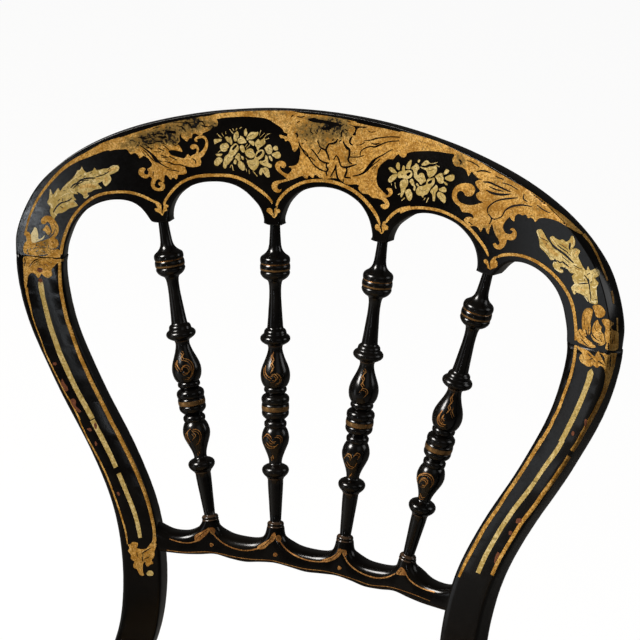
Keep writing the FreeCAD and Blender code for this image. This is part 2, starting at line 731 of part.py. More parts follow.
STRETCHERS = [
    ("front_stretcher_upper", RINGED_STRETCHER_SHARES, (front_leg_axis, -1), (front_leg_axis, 1),
     size("front_stretcher_upper_height")),
    ("front_stretcher_lower", PLAIN_STRETCHER_SHARES, (front_leg_axis, -1), (front_leg_axis, 1),
     size("front_stretcher_lower_height")),
    ("left_stretcher_upper", PLAIN_STRETCHER_SHARES, (front_leg_axis, -1), (rear_leg_axis, -1),
     size("side_stretcher_upper_height")),
    ("left_stretcher_lower", PLAIN_STRETCHER_SHARES, (front_leg_axis, -1), (rear_leg_axis, -1),
     size("side_stretcher_lower_height")),
    ("right_stretcher_upper", PLAIN_STRETCHER_SHARES, (front_leg_axis, 1), (rear_leg_axis, 1),
     size("side_stretcher_upper_height")),
    ("right_stretcher_lower", PLAIN_STRETCHER_SHARES, (front_leg_axis, 1), (rear_leg_axis, 1),
     size("side_stretcher_lower_height")),
    ("rear_stretcher", PLAIN_STRETCHER_SHARES, (rear_leg_axis, -1), (rear_leg_axis, 1),
     size("rear_stretcher_height")),
]


def stretcher_line(row):
    """Ends of a stretcher: its tenons stop short of the leg axes."""
    _, _, (first, first_side), (second, second_side), height = row
    start = first(first_side, height)
    end = second(second_side, height)
    toward = (end - start).normalize()

    def inset(place):
        """Distance from a leg's axis to the end of the tenon in it."""
        if place is front_leg_axis:
            return front_leg_radius_at(height) - size("stretcher_tenon_depth")
        share = 1.0 - height / SEAT
        half = (size("rear_leg_width") + (size("rear_foot_width") - size("rear_leg_width")) * share) / 2
        return half - size("stretcher_tenon_depth")

    return start + toward * inset(first), end - toward * inset(second), toward


def stretcher_holes(side, place):
    """Drilled sockets for the stretchers that end in one leg."""
    holes = []
    radius = size("stretcher_radius") * PLAIN_STRETCHER_SHARES[1][1] + CLEAR
    reach = size("stretcher_tenon_depth") + OVER
    for row in STRETCHERS:
        _, _, first, second, _ = row
        start, end, toward = stretcher_line(row)
        if first == (place, side):
            holes.append((start - toward * CLEAR, toward, radius, reach))
        if second == (place, side):
            holes.append((end + toward * CLEAR, toward * -1, radius, reach))
    return holes


# Posts with their joints
def post_solid():
    """The right post with every socket that its neighbours need."""
    shape = post_blank(0.0)
    center, upward = joint_pin_line()
    reach = size("dowel_length") / 2 + CLEAR
    pin_radius = size("dowel_radius") + CLEAR
    shape = shape.cut(cylinder_between(center - upward * reach, center + upward * OVER, pin_radius))
    start, middle = rail_tenon_line(1)
    toward = (middle - start).normalize()
    reach = size("rail_tenon_length") - size("post_face_width") / 2 + CLEAR
    shape = shape.cut(cylinder_between(start, middle + toward * reach, size("rail_tenon_radius") + CLEAR))
    for tenon in seat_tenons(CLEAR):
        shape = shape.cut(tenon)
    for point, direction, radius, length in stretcher_holes(1, rear_leg_axis):
        shape = shape.cut(Part.makeCylinder(radius, length, point, direction))
    return shape


def joint_pin_line():
    """The axis of the dowel between post and crest on the right side."""
    x = size("back_half_width") - size("post_face_width") / 2
    center = back_point(x, 0, FACE - THICK / 2)
    return center, UP_DIRECTION


def spindle_line(row):
    """Foot, direction and visible length of one spindle."""
    _, top_x, top_rise, foot_x, foot_rise = row
    foot = axis_point(foot_x, foot_rise)
    top = axis_point(top_x, top_rise)
    return foot, (top - foot).normalize(), (top - foot).Length


grown_posts = post_blank(CLEAR)
grown_posts = [grown_posts, mirrored(grown_posts)]

crest_shape = crest_blank()
for cutter in crest_arches():
    crest_shape = crest_shape.cut(cutter)
rail_shape = lower_rail_blank()
for grown in grown_posts:
    rail_shape = rail_shape.cut(grown)
for side in (-1, 1):
    start, middle = rail_tenon_line(side)
    toward = (middle - start).normalize()
    reach = size("rail_tenon_length") - size("post_face_width") / 2
    tenon = cylinder_between(start, middle + toward * reach, size("rail_tenon_radius"))
    rail_shape = rail_shape.fuse(tenon)
for row in SPINDLES:
    foot, toward, length = spindle_line(row)
    tenon = size("spindle_tenon_length") + CLEAR
    radius = size("spindle_tenon_radius") + CLEAR
    neck = size("spindle_bead_radius") * SPINDLE_SHARES[-2][1] + CLEAR
    mouth = foot + toward * (length - size("spindle_tenon_radius"))
    crest_shape = crest_shape.cut(Part.makeCylinder(neck, tenon + size("spindle_tenon_radius"), mouth, toward))
    ring = size("spindle_bead_radius") * SPINDLE_SHARES[0][1] + CLEAR
    rail_shape = rail_shape.cut(Part.makeCylinder(ring, OVER, foot - toward * CLEAR, toward))
    rail_shape = rail_shape.cut(Part.makeCylinder(radius, tenon, foot - toward * tenon, toward))
center, upward = joint_pin_line()
pin_reach = size("dowel_length") / 2
pin_top = center + upward * (pin_reach + CLEAR)
pin_hole = cylinder_between(center - upward * OVER, pin_top, size("dowel_radius") + CLEAR)
crest_shape = crest_shape.cut(pin_hole).cut(mirrored(pin_hole))

post_shape = post_solid()
pin = cylinder_between(center - upward * pin_reach, center + upward * pin_reach, size("dowel_radius"))

crest = add_feature("crest_rail", crest_shape)
post_right = add_feature("back_post_right", post_shape)
post_left = add_feature("back_post_left", mirrored(post_shape))
rail = add_feature("lower_back_rail", rail_shape)
pins = add_feature("crest_dowels", Part.makeCompound([pin, mirrored(pin)]))
pieces = [crest, post_left, post_right, rail, pins]


def mirror_object(label, source):
    """The same piece on the left side of the chair."""
    item = doc.addObject("Part::Mirroring", label)
    item.Label = label
    item.Source = source
    item.Base = Vector(0, 0, 0)
    item.Normal = Vector(1, 0, 0)
    return item


def cut_holes(label, source, holes):
    """A turned piece with drilled sockets, each a point, a direction, a radius and a length."""
    drills = []
    end_share = PLAIN_STRETCHER_SHARES[1][1]
    for number, (point, direction, radius, length) in enumerate(holes, start=1):
        drill = doc.addObject("Part::Cylinder", "%s_drill_%d" % (label, number))
        drill.Radius = radius
        drill.Height = length
        drill.setExpression("Radius", "Sizes.stretcher_radius * %.4f + Sizes.fit_clearance" % end_share)
        drill.setExpression("Height", "Sizes.stretcher_tenon_depth + Sizes.cut_overrun")
        drill.Placement = along(point, direction)
        drills.append(drill)
    tools = doc.addObject("Part::MultiFuse", label + "_drills")
    tools.Shapes = drills
    item = doc.addObject("Part::Cut", label)
    item.Label = label
    item.Base = source
    item.Tool = tools
    return item


SPINDLE_PAIRS = (("spindle_4", "spindle_1", SPINDLES[3]), ("spindle_3", "spindle_2", SPINDLES[2]))
for name, mirror_name, row in SPINDLE_PAIRS:
    foot, toward, length = spindle_line(row)
    start = foot - toward * size("spindle_tenon_length")
    spindle = turning(name, spindle_rows(name, length), along(start, toward))
    spindle.Label = name
    pieces.append(mirror_object(mirror_name, spindle))
    pieces.append(spindle)

# Front legs: turned, with a round tenon up into the seat frame
leg_height = SEAT - size("seat_thickness")
leg_text = "(Sizes.seat_height - Sizes.seat_thickness)"
leg_rows = profile_rows(FRONT_LEG_SHARES, "front_leg_radius", leg_text, leg_height, ("0", 0.0))
tenon_text = "Sizes.front_leg_tenon_radius"
tenon_radius = size("front_leg_tenon_radius")
leg_rows.append((tenon_text, tenon_radius, leg_text, leg_height))
leg_rows.append((tenon_text, tenon_radius, leg_text + " + Sizes.front_leg_tenon_length",
                 leg_height + size("front_leg_tenon_length")))
leg_turning = turning("front_leg", leg_rows, Placement(front_leg_axis(1, 0.0), Rotation()))
leg_right = cut_holes("front_leg_right", leg_turning, stretcher_holes(1, front_leg_axis))
pieces.append(leg_right)
pieces.append(mirror_object("front_leg_left", leg_right))

# Stretchers
for row in STRETCHERS:
    name, shares = row[0], row[1]
    start, end, toward = stretcher_line(row)
    if name.startswith("left"):
        continue
    bar = turning(name, stretcher_rows(name, shares, (end - start).Length), along(start, toward))
    bar.Label = name
    pieces.append(bar)
    if name.startswith("right"):
        pieces.append(mirror_object(name.replace("right", "left"), bar))

# Seat frame: rails cut from one slab, joined by dowels in front and by tenons at the posts
slab = seat_slab()
bottom = SEAT - size("seat_thickness")
wide = size("seat_half_width") + OVER
front_line = size("front_rail_depth") - size("seat_front_depth")
deep = -size("seat_front_depth") - OVER
post_line = -size("post_front_face")
rear_half = size("rear_rail_half")
rear_front = -size("rear_rail_front")
low = bottom - OVER
high = SEAT + OVER
front_shape = slab.common(block(-wide, wide, deep, front_line, low, high))
side_shape = slab.common(block(0.0, wide, front_line, post_line, low, high))
side_shape = side_shape.cut(block(-rear_half - CLEAR, rear_half + CLEAR, rear_front - CLEAR, OVER, low, high))
side_tenon, rear_tenon = seat_tenons(0.0)
side_shape = side_shape.cut(grown_posts[0])
side_tenon = side_tenon.common(block(0.0, wide, rear_front, OVER, low, high))
side_shape = side_shape.fuse(side_tenon)
rear_shape = block(-rear_half, rear_half, rear_front, size("rear_rail_back"), bottom, SEAT)
rear_shape = rear_shape.cut(opening_prism(0.0, low, high - low))
rear_shape = rear_shape.cut(opening_prism(size("cane_rebate_width"), SEAT - size("cane_rebate_depth"), OVER))
for grown in grown_posts:
    rear_shape = rear_shape.cut(grown)
rear_shape = rear_shape.fuse([rear_tenon, mirrored(rear_tenon)])
dowels = []
for x_share in SEAT_DOWEL_SHARES:
    middle = Vector(x_share * size("seat_half_width"), front_line, SEAT - size("seat_thickness") / 2)
    half = Vector(0, size("dowel_length") / 2, 0)
    gap = Vector(0, CLEAR, 0)
    dowels.append(cylinder_between(middle - half, middle + half, size("dowel_radius")))
    hole = cylinder_between(middle - half - gap, middle + half + gap, size("dowel_radius") + CLEAR)
    side_shape = side_shape.cut(hole)
    front_shape = front_shape.cut(hole).cut(mirrored(hole))
socket = Part.makeCylinder(tenon_radius + CLEAR, size("front_leg_tenon_length") + CLEAR + OVER,
                           front_leg_axis(1, bottom - OVER), Vector(0, 0, 1))
front_shape = front_shape.cut(socket).cut(mirrored(socket))
pieces.append(add_feature("seat_front_rail", front_shape))
pieces.append(add_feature("seat_right_rail", side_shape))
pieces.append(add_feature("seat_left_rail", mirrored(side_shape)))
pieces.append(add_feature("seat_rear_rail", rear_shape))
pieces.append(add_feature("seat_dowels", Part.makeCompound(dowels + [mirrored(pin) for pin in dowels])))

# Cane panel in its rebate, held down by a narrow binding
rebate_floor = SEAT - size("cane_rebate_depth")
panel = opening_prism(size("cane_rebate_width") - size("cane_edge_gap"), rebate_floor, size("cane_thickness"))
binding_outer = size("cane_rebate_width") - size("cane_edge_gap")
binding_floor = rebate_floor + size("cane_thickness")
binding = opening_prism(binding_outer, binding_floor, size("cane_spline_height"))
binding = binding.cut(opening_prism(binding_outer - size("cane_spline_width"), rebate_floor, OVER))
pieces.append(add_feature("cane_seat", panel))
pieces.append(add_feature("cane_binding", binding))

doc.recompute()

# The origin goes under the middle of the whole chair
front_end = min(item.Shape.optimalBoundingBox(False).YMin for item in pieces)
back_end = max(item.Shape.optimalBoundingBox(False).YMax for item in pieces)
shift = Placement(Vector(0, -(front_end + back_end) / 2, 0), Rotation())
for item in pieces:
    if item.TypeId != "Part::Mirroring":
        item.Placement = shift.multiply(item.Placement)
doc.recompute()

for item in doc.Objects:
    if "Invalid" in item.State or "Error" in item.State:
        raise RuntimeError("failed object " + item.Label)
for item in pieces:
    shape = item.Shape
    if shape.isNull() or not shape.isValid() or not shape.Solids:
        raise RuntimeError("no sound solid in " + item.Label)
for item in pieces:
    item.Shape.exportStep("parts/%s.step" % item.Label)
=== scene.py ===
"""Stenciled painted side chair: the dressed model for the rendered picture."""
import logging
import math
from dataclasses import dataclass, field
from enum import Enum

import bmesh
import bpy
import numpy as np
from mathutils import Euler, Matrix, Vector
from mathutils.bvhtree import BVHTree
from mathutils.geometry import delaunay_2d_cdt


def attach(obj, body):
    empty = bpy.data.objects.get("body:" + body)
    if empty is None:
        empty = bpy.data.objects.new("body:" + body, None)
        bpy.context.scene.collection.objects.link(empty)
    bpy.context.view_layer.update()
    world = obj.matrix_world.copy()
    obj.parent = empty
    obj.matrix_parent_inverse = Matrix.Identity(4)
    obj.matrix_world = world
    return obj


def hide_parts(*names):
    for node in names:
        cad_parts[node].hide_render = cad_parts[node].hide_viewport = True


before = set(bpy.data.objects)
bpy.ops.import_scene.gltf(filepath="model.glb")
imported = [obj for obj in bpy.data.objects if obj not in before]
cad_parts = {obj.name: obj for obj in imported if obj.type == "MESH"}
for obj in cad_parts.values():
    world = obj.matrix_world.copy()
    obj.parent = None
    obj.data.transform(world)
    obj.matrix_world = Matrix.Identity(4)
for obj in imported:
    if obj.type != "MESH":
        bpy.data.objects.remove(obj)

log = logging.getLogger("chair")
MM = 0.001
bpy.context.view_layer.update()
MIX_SHARE, MIX_FIRST, MIX_SECOND, MIX_RESULT = 0, 6, 7, 2
SOFT_DEGREES = 60.0
BOARD_DEGREES = 50.0
FLAT_DEGREES = 30.0
Rgb = tuple[float, float, float]
Pair = tuple[float, float]
Mark = tuple[float, float, float]


# Shader tools
class Wire:
    """A shader socket that takes part in sums as a number does."""

    def __init__(self, shader: "Shader", socket: bpy.types.NodeSocket) -> None:
        """Keep the socket and the shader it belongs to."""
        self.shader = shader
        self.socket = socket

    def _math(self, operation: str, *values: "Wire | float") -> "Wire":
        """Add one Math node.

        Args:
            operation: the Math node's operation.
            values: its inputs in order.

        Returns:
            The node's result.
        """
        return self.shader.node(
            "ShaderNodeMath", {"operation": operation}, {i: v for i, v in enumerate(values)}
        )

    def __add__(self, other: "Wire | float") -> "Wire":
        """self + other"""
        return self._math("ADD", self, other)

    def __radd__(self, other: float) -> "Wire":
        """other + self"""
        return self._math("ADD", other, self)

    def __sub__(self, other: "Wire | float") -> "Wire":
        """self - other"""
        return self._math("SUBTRACT", self, other)

    def __rsub__(self, other: float) -> "Wire":
        """other - self"""
        return self._math("SUBTRACT", other, self)

    def __mul__(self, other: "Wire | float") -> "Wire":
        """self * other"""
        return self._math("MULTIPLY", self, other)

    def __rmul__(self, other: float) -> "Wire":
        """other * self"""
        return self._math("MULTIPLY", other, self)

    def above(self, low: float, high: float) -> "Wire":
        """A smooth mask of the values from low to high.

        Args:
            low: the value where the mask is 0.
            high: the value where the mask is 1.

        Returns:
            The mask.
        """
        settings = {"interpolation_type": "SMOOTHSTEP"}
        return self.shader.node(
            "ShaderNodeMapRange", settings, {"Value": self, "From Min": low, "From Max": high}
        )

    def band(self, low: float, high: float, soft: float) -> "Wire":
        """A mask of the values between two limits.

        Args:
            low: where the band begins.
            high: where it ends.
            soft: width of its soft rims.

        Returns:
            The mask.
        """
        return self.above(low - soft, low + soft) * (1.0 - self.above(high - soft, high + soft))


class Shader:
    """One material and the nodes that it is made of."""

    def __init__(self, name: str) -> None:
        """Start an empty material, by its name."""
        self.material = bpy.data.materials.new(name)
        self.material.use_nodes = True
        self.tree = self.material.node_tree
        self.tree.nodes.clear()

    def node(
        self, kind: str, settings: dict | None = None, inputs: dict | None = None, output: int | str = 0
    ) -> Wire:
        """Add a node.

        Args:
            kind: the node's type.
            settings: its properties, set first.
            inputs: values or links, by the input's name or number.
            output: the output that is given back.

        Returns:
            One output of the node.
        """
        made = self.tree.nodes.new(kind)
        for key, value in (settings or {}).items():
            setattr(made, key, value)
        for key, value in (inputs or {}).items():
            socket = made.inputs[key]
            if isinstance(value, Wire):
                self.tree.links.new(value.socket, socket)
            elif isinstance(value, tuple) and socket.type == "RGBA":
                socket.default_value = (*value, 1.0)
            else:
                socket.default_value = value
        return Wire(self, made.outputs[output])

    def noise(
        self, scale: float, detail: float = 3.0, rough: float = 0.55, stretch: Rgb = (1.0, 1.0, 1.0)
    ) -> Wire:
        """Noise over the piece.

        Args:
            scale: bumps to a metre.
            detail: octaves.
            rough: strength of the fine octaves.
            stretch: stretch of the coordinates.

        Returns:
            The noise from 0 to 1.
        """
        spot = self.node("ShaderNodeTexCoord", output="Object")
        place = self.node("ShaderNodeMapping", {}, {"Vector": spot, "Scale": stretch})
        inputs = {"Vector": place, "Scale": scale, "Detail": detail, "Roughness": rough}
        return self.node("ShaderNodeTexNoise", {}, inputs)

    def blend(self, share: Wire | float, first: "Wire | Rgb", second: "Wire | Rgb") -> Wire:
        """Mix two colours.

        Args:
            share: how much of the second colour.
            first: the colour at 0.
            second: the colour at 1.

        Returns:
            The mixed colour.
        """
        inputs = {MIX_SHARE: share, MIX_FIRST: first, MIX_SECOND: second}
        return self.node("ShaderNodeMix", {"data_type": "RGBA"}, inputs, output=MIX_RESULT)

    def attribute(self, name: str) -> Wire:
        """A number stored on the mesh, by its name."""
        return self.node("ShaderNodeAttribute", {"attribute_name": name}, output="Fac")

    def finish(self, inputs: dict, bumps: list[tuple[Wire, float, float]]) -> bpy.types.Material:
        """Close the material with a Principled shader.

        Args:
            inputs: the shader's sockets.
            bumps: height, strength and depth in metres of each relief.

        Returns:
            The material.
        """
        for height, strength, depth in bumps:
            values = {"Height": height, "Strength": strength, "Distance": depth}
            if "Normal" in inputs:
                values["Normal"] = inputs["Normal"]
            inputs["Normal"] = self.node("ShaderNodeBump", {}, values)
        surface = self.node("ShaderNodeBsdfPrincipled", {}, inputs)
        out = self.tree.nodes.new("ShaderNodeOutputMaterial")
        self.tree.links.new(surface.socket, out.inputs["Surface"])
        return self.material


# Finishes
@dataclass(frozen=True)
class BlackLacquer:
    """Ebonised wood under a worn satin varnish."""

    black: Rgb = (0.0014, 0.0010, 0.0008)
    dusty: Rgb = (0.0042, 0.0032, 0.0022)
    brown: Rgb = (0.045, 0.017, 0.007)
    gloss: float = 0.13
    shine: float = 0.32

    def layers(self, s: Shader) -> tuple[Wire, Wire, list[tuple[Wire, float, float]]]:
        """The lacquer's colour, roughness and relief.

        Args:
            s: the shader that takes them.

        Returns:
            Colour, roughness and reliefs.
        """
        cloud = s.noise(26.0, 4.0, 0.6)
        fine = s.noise(520.0, 3.0, 0.6)
        streak = s.noise(75.0, 3.0, 0.6, (1.0, 1.0, 0.3))
        chip = (s.noise(160.0, 5.0, 0.65) + s.noise(15.0, 2.0, 0.5) * 0.5).above(1.02, 1.08)
        colour = s.blend(cloud.above(0.4, 0.75), self.black, self.dusty)
        colour = s.blend(chip * 0.85, colour, self.brown)
        rough = self.gloss + 0.08 * cloud.above(0.35, 0.75) + 0.05 * fine.above(0.4, 0.7) + chip * 0.3
        return colour, rough, [(streak, 0.035, 0.0006), (fine, 0.015, 0.0002)]

    def make(self, name: str = "black_lacquer") -> bpy.types.Material:
        """Build the material, by its name."""
        s = Shader(name)
        colour, rough, bumps = self.layers(s)
        return s.finish({"Base Color": colour, "Roughness": rough, "Specular IOR Level": self.shine}, bumps)


@dataclass(frozen=True)
class BronzePowder:
    """Gold bronze powder stencilled on size, rubbed and darkened with age."""

    bright: Rgb = (0.76, 0.40, 0.075)
    deep: Rgb = (0.34, 0.150, 0.014)
    glint: Rgb = (0.97, 0.66, 0.26)
    pale: Rgb = (0.46, 0.315, 0.085)
    pale_light: Rgb = (0.80, 0.62, 0.27)
    # painted highlight: cream laid where light reflects on the shell and sprigs
    highlight_cream: Rgb = (0.90, 0.76, 0.43)
    olive: Rgb = (0.125, 0.088, 0.024)
    bare: Rgb = (0.24, 0.080, 0.036)
    black: Rgb = (0.003, 0.0025, 0.002)
    metal: float = 0.15

    def make(self, name: str = "bronze_gold") -> bpy.types.Material:
        """Build the material, by its name; it reads tone, rust and wear from the mesh."""
        s = Shader(name)
        wear = s.attribute("wear")
        # value 0 is bronze and 1 is pale powder; value 2 is painted highlight
        tone_and_highlight = s.attribute("tone_and_highlight")
        cloud = s.noise(110.0, 4.0, 0.62)
        grain = s.noise(620.0, 4.0, 0.7)
        speck = s.noise(1300.0, 3.0, 0.7)
        patch = s.noise(380.0, 5.0, 0.72)
        hair = s.noise(95.0, 3.0, 0.55).band(0.488, 0.512, 0.006) * s.noise(60.0, 2.0, 0.5).above(0.47, 0.55)
        broad = s.noise(38.0, 2.0, 0.5).above(0.42, 0.62)
        mottle = (cloud * 0.4 + grain * 0.6).above(0.44, 0.58) * (1.0 - 0.45 * broad)
        high = (cloud * 0.25 + speck * 0.75).above(0.51, 0.61)
        bronze = s.blend(mottle, self.deep, self.bright)
        pale = s.blend(mottle, self.pale, self.pale_light)
        bronze = s.blend(high * 0.6, bronze, self.glint)
        gold = s.blend(tone_and_highlight.above(0.0, 1.0), bronze, pale)
        # painted highlight: faces of value 2 are mixed towards the cream highlight colour
        gold = s.blend(tone_and_highlight.above(1.0, 2.0) * (0.75 + 0.25 * mottle), gold, self.highlight_cream)
        dull = (1.0 - speck) * 0.7 + cloud * 0.3
        gold = s.blend(dull.above(0.52, 0.64) * 0.6, gold, self.olive)
        gold = s.blend(hair * 0.55, gold, self.olive)
        gold = s.blend((patch * 0.6 + grain * 0.4 + wear * 0.30).above(0.60, 0.70) * 0.72, gold, self.olive)
        lost = (patch * 0.45 + grain * 0.55 + wear * 0.25).above(0.70, 0.76)
        colour = s.blend(lost, gold, self.black)
        worn = s.blend(speck.above(0.35, 0.65) * 0.6, self.bare, self.black)
        colour = s.blend(s.attribute("rust"), colour, worn)
        rough = 0.40 + 0.14 * speck - lost * 0.12
        metal = self.metal - self.metal * lost
        values = {"Base Color": colour, "Metallic": metal, "Roughness": rough, "Specular IOR Level": 0.25}
        return s.finish(values, [(grain, 0.12, 0.0002)])


@dataclass(frozen=True)
class RingedLacquer:
    """Lacquered turning with thin bronze rings at set heights."""

    lacquer: BlackLacquer = BlackLacquer(gloss=0.16, shine=0.42)
    gold: Rgb = (0.42, 0.23, 0.085)
    red: Rgb = (0.07, 0.040, 0.022)
    gold_bands: tuple[Pair, ...] = ((35.2, 36.3), (40.6, 42.2), (176.0, 180.4))
    red_bands: tuple[Pair, ...] = ((116.3, 117.5), (248.4, 249.8), (292.6, 294.6), (296.6, 298.4))

    def make(self, name: str = "ringed_lacquer") -> bpy.types.Material:
        """Build the material, by its name; it reads the place along the turning from the mesh."""
        s = Shader(name)
        colour, rough, _ = self.lacquer.layers(s)
        place = s.attribute("along")
        rub = s.noise(400.0, 4.0, 0.7).above(0.30, 0.55)
        gold = sum((place.band(a, b, 0.12) for a, b in self.gold_bands), 0.0)
        red = sum((place.band(a, b, 0.15) for a, b in self.red_bands), 0.0)
        colour = s.blend(gold * (0.6 + 0.4 * rub), colour, self.gold)
        colour = s.blend(red * (0.4 + 0.4 * rub), colour, self.red)
        values = {"Base Color": colour, "Roughness": rough + 0.08 * gold, "Metallic": 0.85 * gold}
        return s.finish(values, [])


@dataclass(frozen=True)
class Cane:
    """Split cane, glossy and browned."""

    light: Rgb = (0.52, 0.35, 0.15)
    dark: Rgb = (0.30, 0.17, 0.06)

    def make(self, name: str) -> bpy.types.Material:
        """Build the material, by its name."""
        s = Shader(name)
        cloud = s.noise(60.0, 4.0, 0.6)
        fibre = s.noise(1500.0, 2.0, 0.6)
        knot = s.noise(240.0, 3.0, 0.6).above(0.62, 0.72)
        colour = s.blend(cloud.above(0.3, 0.7), self.light, self.dark)
        colour = s.blend(knot * 0.7, colour, self.dark)
        rough = 0.36 + 0.2 * fibre
        return s.finish({"Base Color": colour, "Roughness": rough}, [(fibre, 0.15, 0.0001)])


@dataclass(frozen=True)
class BareWood:
    """Unpainted birch of the hidden dowels."""

    light: Rgb = (0.50, 0.33, 0.17)
    dark: Rgb = (0.33, 0.19, 0.08)

    def make(self, name: str = "bare_wood") -> bpy.types.Material:
        """Build the material, by its name."""
        s = Shader(name)
        grain = s.noise(380.0, 4.0, 0.6, (1.0, 1.0, 0.12))
        colour = s.blend(grain.above(0.35, 0.65), self.light, self.dark)
        return s.finish({"Base Color": colour, "Roughness": 0.55 + 0.15 * grain}, [(grain, 0.2, 0.0002)])


# Places on the back and in the picture
@dataclass(frozen=True)
class BackFrame:
    """Places on the raked and bowed back, from sizes in millimetres."""

    seat: float = 440.0
    joint: float = 295.0
    rake: float = math.radians(10.0)
    bow: float = 625.0
    face: float = 5.5
    shift: float = 162.167

    def point(self, x: float, rise: float, depth: float) -> Vector:
        """A point from its place on the front face.

        Args:
            x: sideways place on the front face.
            rise: height along the back over the joints of the crest.
            depth: distance in front of the middle surface.

        Returns:
            The point in metres.
        """
        angle = math.asin(x / (self.bow - self.face))
        radius = self.bow - depth
        forward = self.bow - radius * math.cos(angle)
        along = self.joint + rise
        y = along * math.sin(self.rake) - forward * math.cos(self.rake) + self.shift
        z = self.seat + along * math.cos(self.rake) + forward * math.sin(self.rake)
        return Vector((radius * math.sin(angle), y, z)) * MM

    def axis(self, x: float, rise: float) -> Vector:
        """A point in metres on the surface where the spindles stand."""
        return self.point(x * (self.bow - self.face) / self.bow, rise, 0.0)


@dataclass(frozen=True)
class PhotoCamera:
    """The camera of the photograph."""

    place: Vector = field(default_factory=lambda: Vector((0.7378, -1.36032, 1.4475)))
    turn: tuple[float, float, float] = (67.0187, 0.7331, 24.9303)
    focal_px: float = 3000.0
    picture_px: float = 640.0
    sensor_mm: float = 36.0
    nearest: float = 0.05
    farthest: float = 50.0

    def turned(self) -> Matrix:
        """The camera's rotation."""
        return Euler([math.radians(a) for a in self.turn]).to_matrix()

    def ray(self, pixel: Pair) -> Vector:
        """The direction that a pixel looks in.

        Args:
            pixel: across and down in the photograph.

        Returns:
            A unit vector.
        """
        half = self.picture_px / 2
        away = Vector((pixel[0] - half, half - pixel[1], -self.focal_px))
        return (self.turned() @ away).normalized()

    def build(self) -> None:
        """Make the camera the scene's own."""
        data = bpy.data.cameras.new("photo_camera")
        data.sensor_width = self.sensor_mm
        data.lens = self.sensor_mm * self.focal_px / self.picture_px
        data.clip_start = self.nearest
        data.clip_end = self.farthest
        item = bpy.data.objects.new("photo_camera", data)
        item.matrix_world = Matrix.Translation(self.place) @ self.turned().to_4x4()
        bpy.context.scene.collection.objects.link(item)
        bpy.context.scene.camera = item


# Curve and mesh tools
def curve_through(points: list[tuple], spacing: float, closed: bool) -> list[np.ndarray]:
    """A smooth line through points, evenly sampled.

    Args:
        points: the points, of any number of values.
        spacing: distance between the samples.
        closed: whether the line closes on itself.

    Returns:
        The samples in order.
    """
    row = [np.array(p, dtype=float) for p in points]
    count = len(row)
    found = []
    for i in range(count if closed else count - 1):
        here, after = row[i], row[(i + 1) % count]
        before = row[i - 1] if closed or i > 0 else 2 * here - after
        beyond = row[(i + 2) % count] if closed or i + 2 < count else 2 * after - here
        knots = [0.0]
        for a, b in ((before, here), (here, after), (after, beyond)):
            knots.append(knots[-1] + max(float(np.linalg.norm((b - a)[:2])), 1e-6) ** 0.5)
        steps = max(1, round(float(np.linalg.norm((after - here)[:2])) / spacing))
        for step in range(steps):
            t = knots[1] + (knots[2] - knots[1]) * step / steps
            a1 = before + (here - before) * (t - knots[0]) / (knots[1] - knots[0])
            a2 = here + (after - here) * (t - knots[1]) / (knots[2] - knots[1])
            a3 = after + (beyond - after) * (t - knots[2]) / (knots[3] - knots[2])
            b1 = a1 + (a2 - a1) * (t - knots[0]) / (knots[2] - knots[0])
            b2 = a2 + (a3 - a2) * (t - knots[1]) / (knots[3] - knots[1])
            found.append(b1 + (b2 - b1) * (t - knots[1]) / (knots[2] - knots[1]))
    if not closed:
        found.append(row[-1])
    return found


def seat_piece(mesh: bpy.types.Mesh, name: str, node: str | None = None) -> bpy.types.Object:
    """Put a finished mesh on the chair.

    Args:
        mesh: the mesh, in the frame of the chair.
        name: the piece's name.
        node: the node that it stands in for, where it has one.

    Returns:
        The piece.
    """
    piece = bpy.data.objects.new(name, mesh)
    bpy.context.scene.collection.objects.link(piece)
    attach(piece, "root")
    if node is not None:
        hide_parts(node)
    log.info("%s: %d faces", name, len(mesh.polygons))
    return piece


def shaded_mesh(
    name: str, points: list, faces: list, material: bpy.types.Material, angle: float
) -> bpy.types.Mesh:
    """A mesh with smooth faces and sharp edges past an angle.

    Args:
        name: the mesh's name.
        points: its corner points in metres.
        faces: its faces as rows of corners.
        material: its finish.
        angle: degrees past which an edge stays sharp.

    Returns:
        The mesh.
    """
    mesh = bpy.data.meshes.new(name)
    mesh.from_pydata([tuple(p) for p in points], [], faces)
    mesh.materials.append(material)
    mesh.shade_smooth()
    mesh.set_sharp_from_angle(angle=math.radians(angle))
    return mesh


def smooth_copy(node: str, material: bpy.types.Material, angle: float = 32.0) -> bpy.types.Object:
    """Stand a smooth, joined copy in for a node.

    Args:
        node: the node's name.
        material: its finish.
        angle: edges sharper than this many degrees stay sharp.

    Returns:
        The new piece.
    """
    mesh = bpy.data.meshes.new(node + "_smooth")
    work = bmesh.new()
    work.from_mesh(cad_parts[node].data)
    bmesh.ops.remove_doubles(work, verts=work.verts, dist=2e-6)
    work.to_mesh(mesh)
    work.free()
    mesh.materials.clear()
    mesh.materials.append(material)
    mesh.polygons.foreach_set("material_index", [0] * len(mesh.polygons))
    mesh.shade_smooth()
    mesh.set_sharp_from_angle(angle=math.radians(angle))
    return seat_piece(mesh, node + "_smooth", node)


# The bent boards of the back
class Rim(Enum):
    """Which rounding an edge of a board has."""

    UPPER = 0
    LOWER = 1
    JOINT = 2


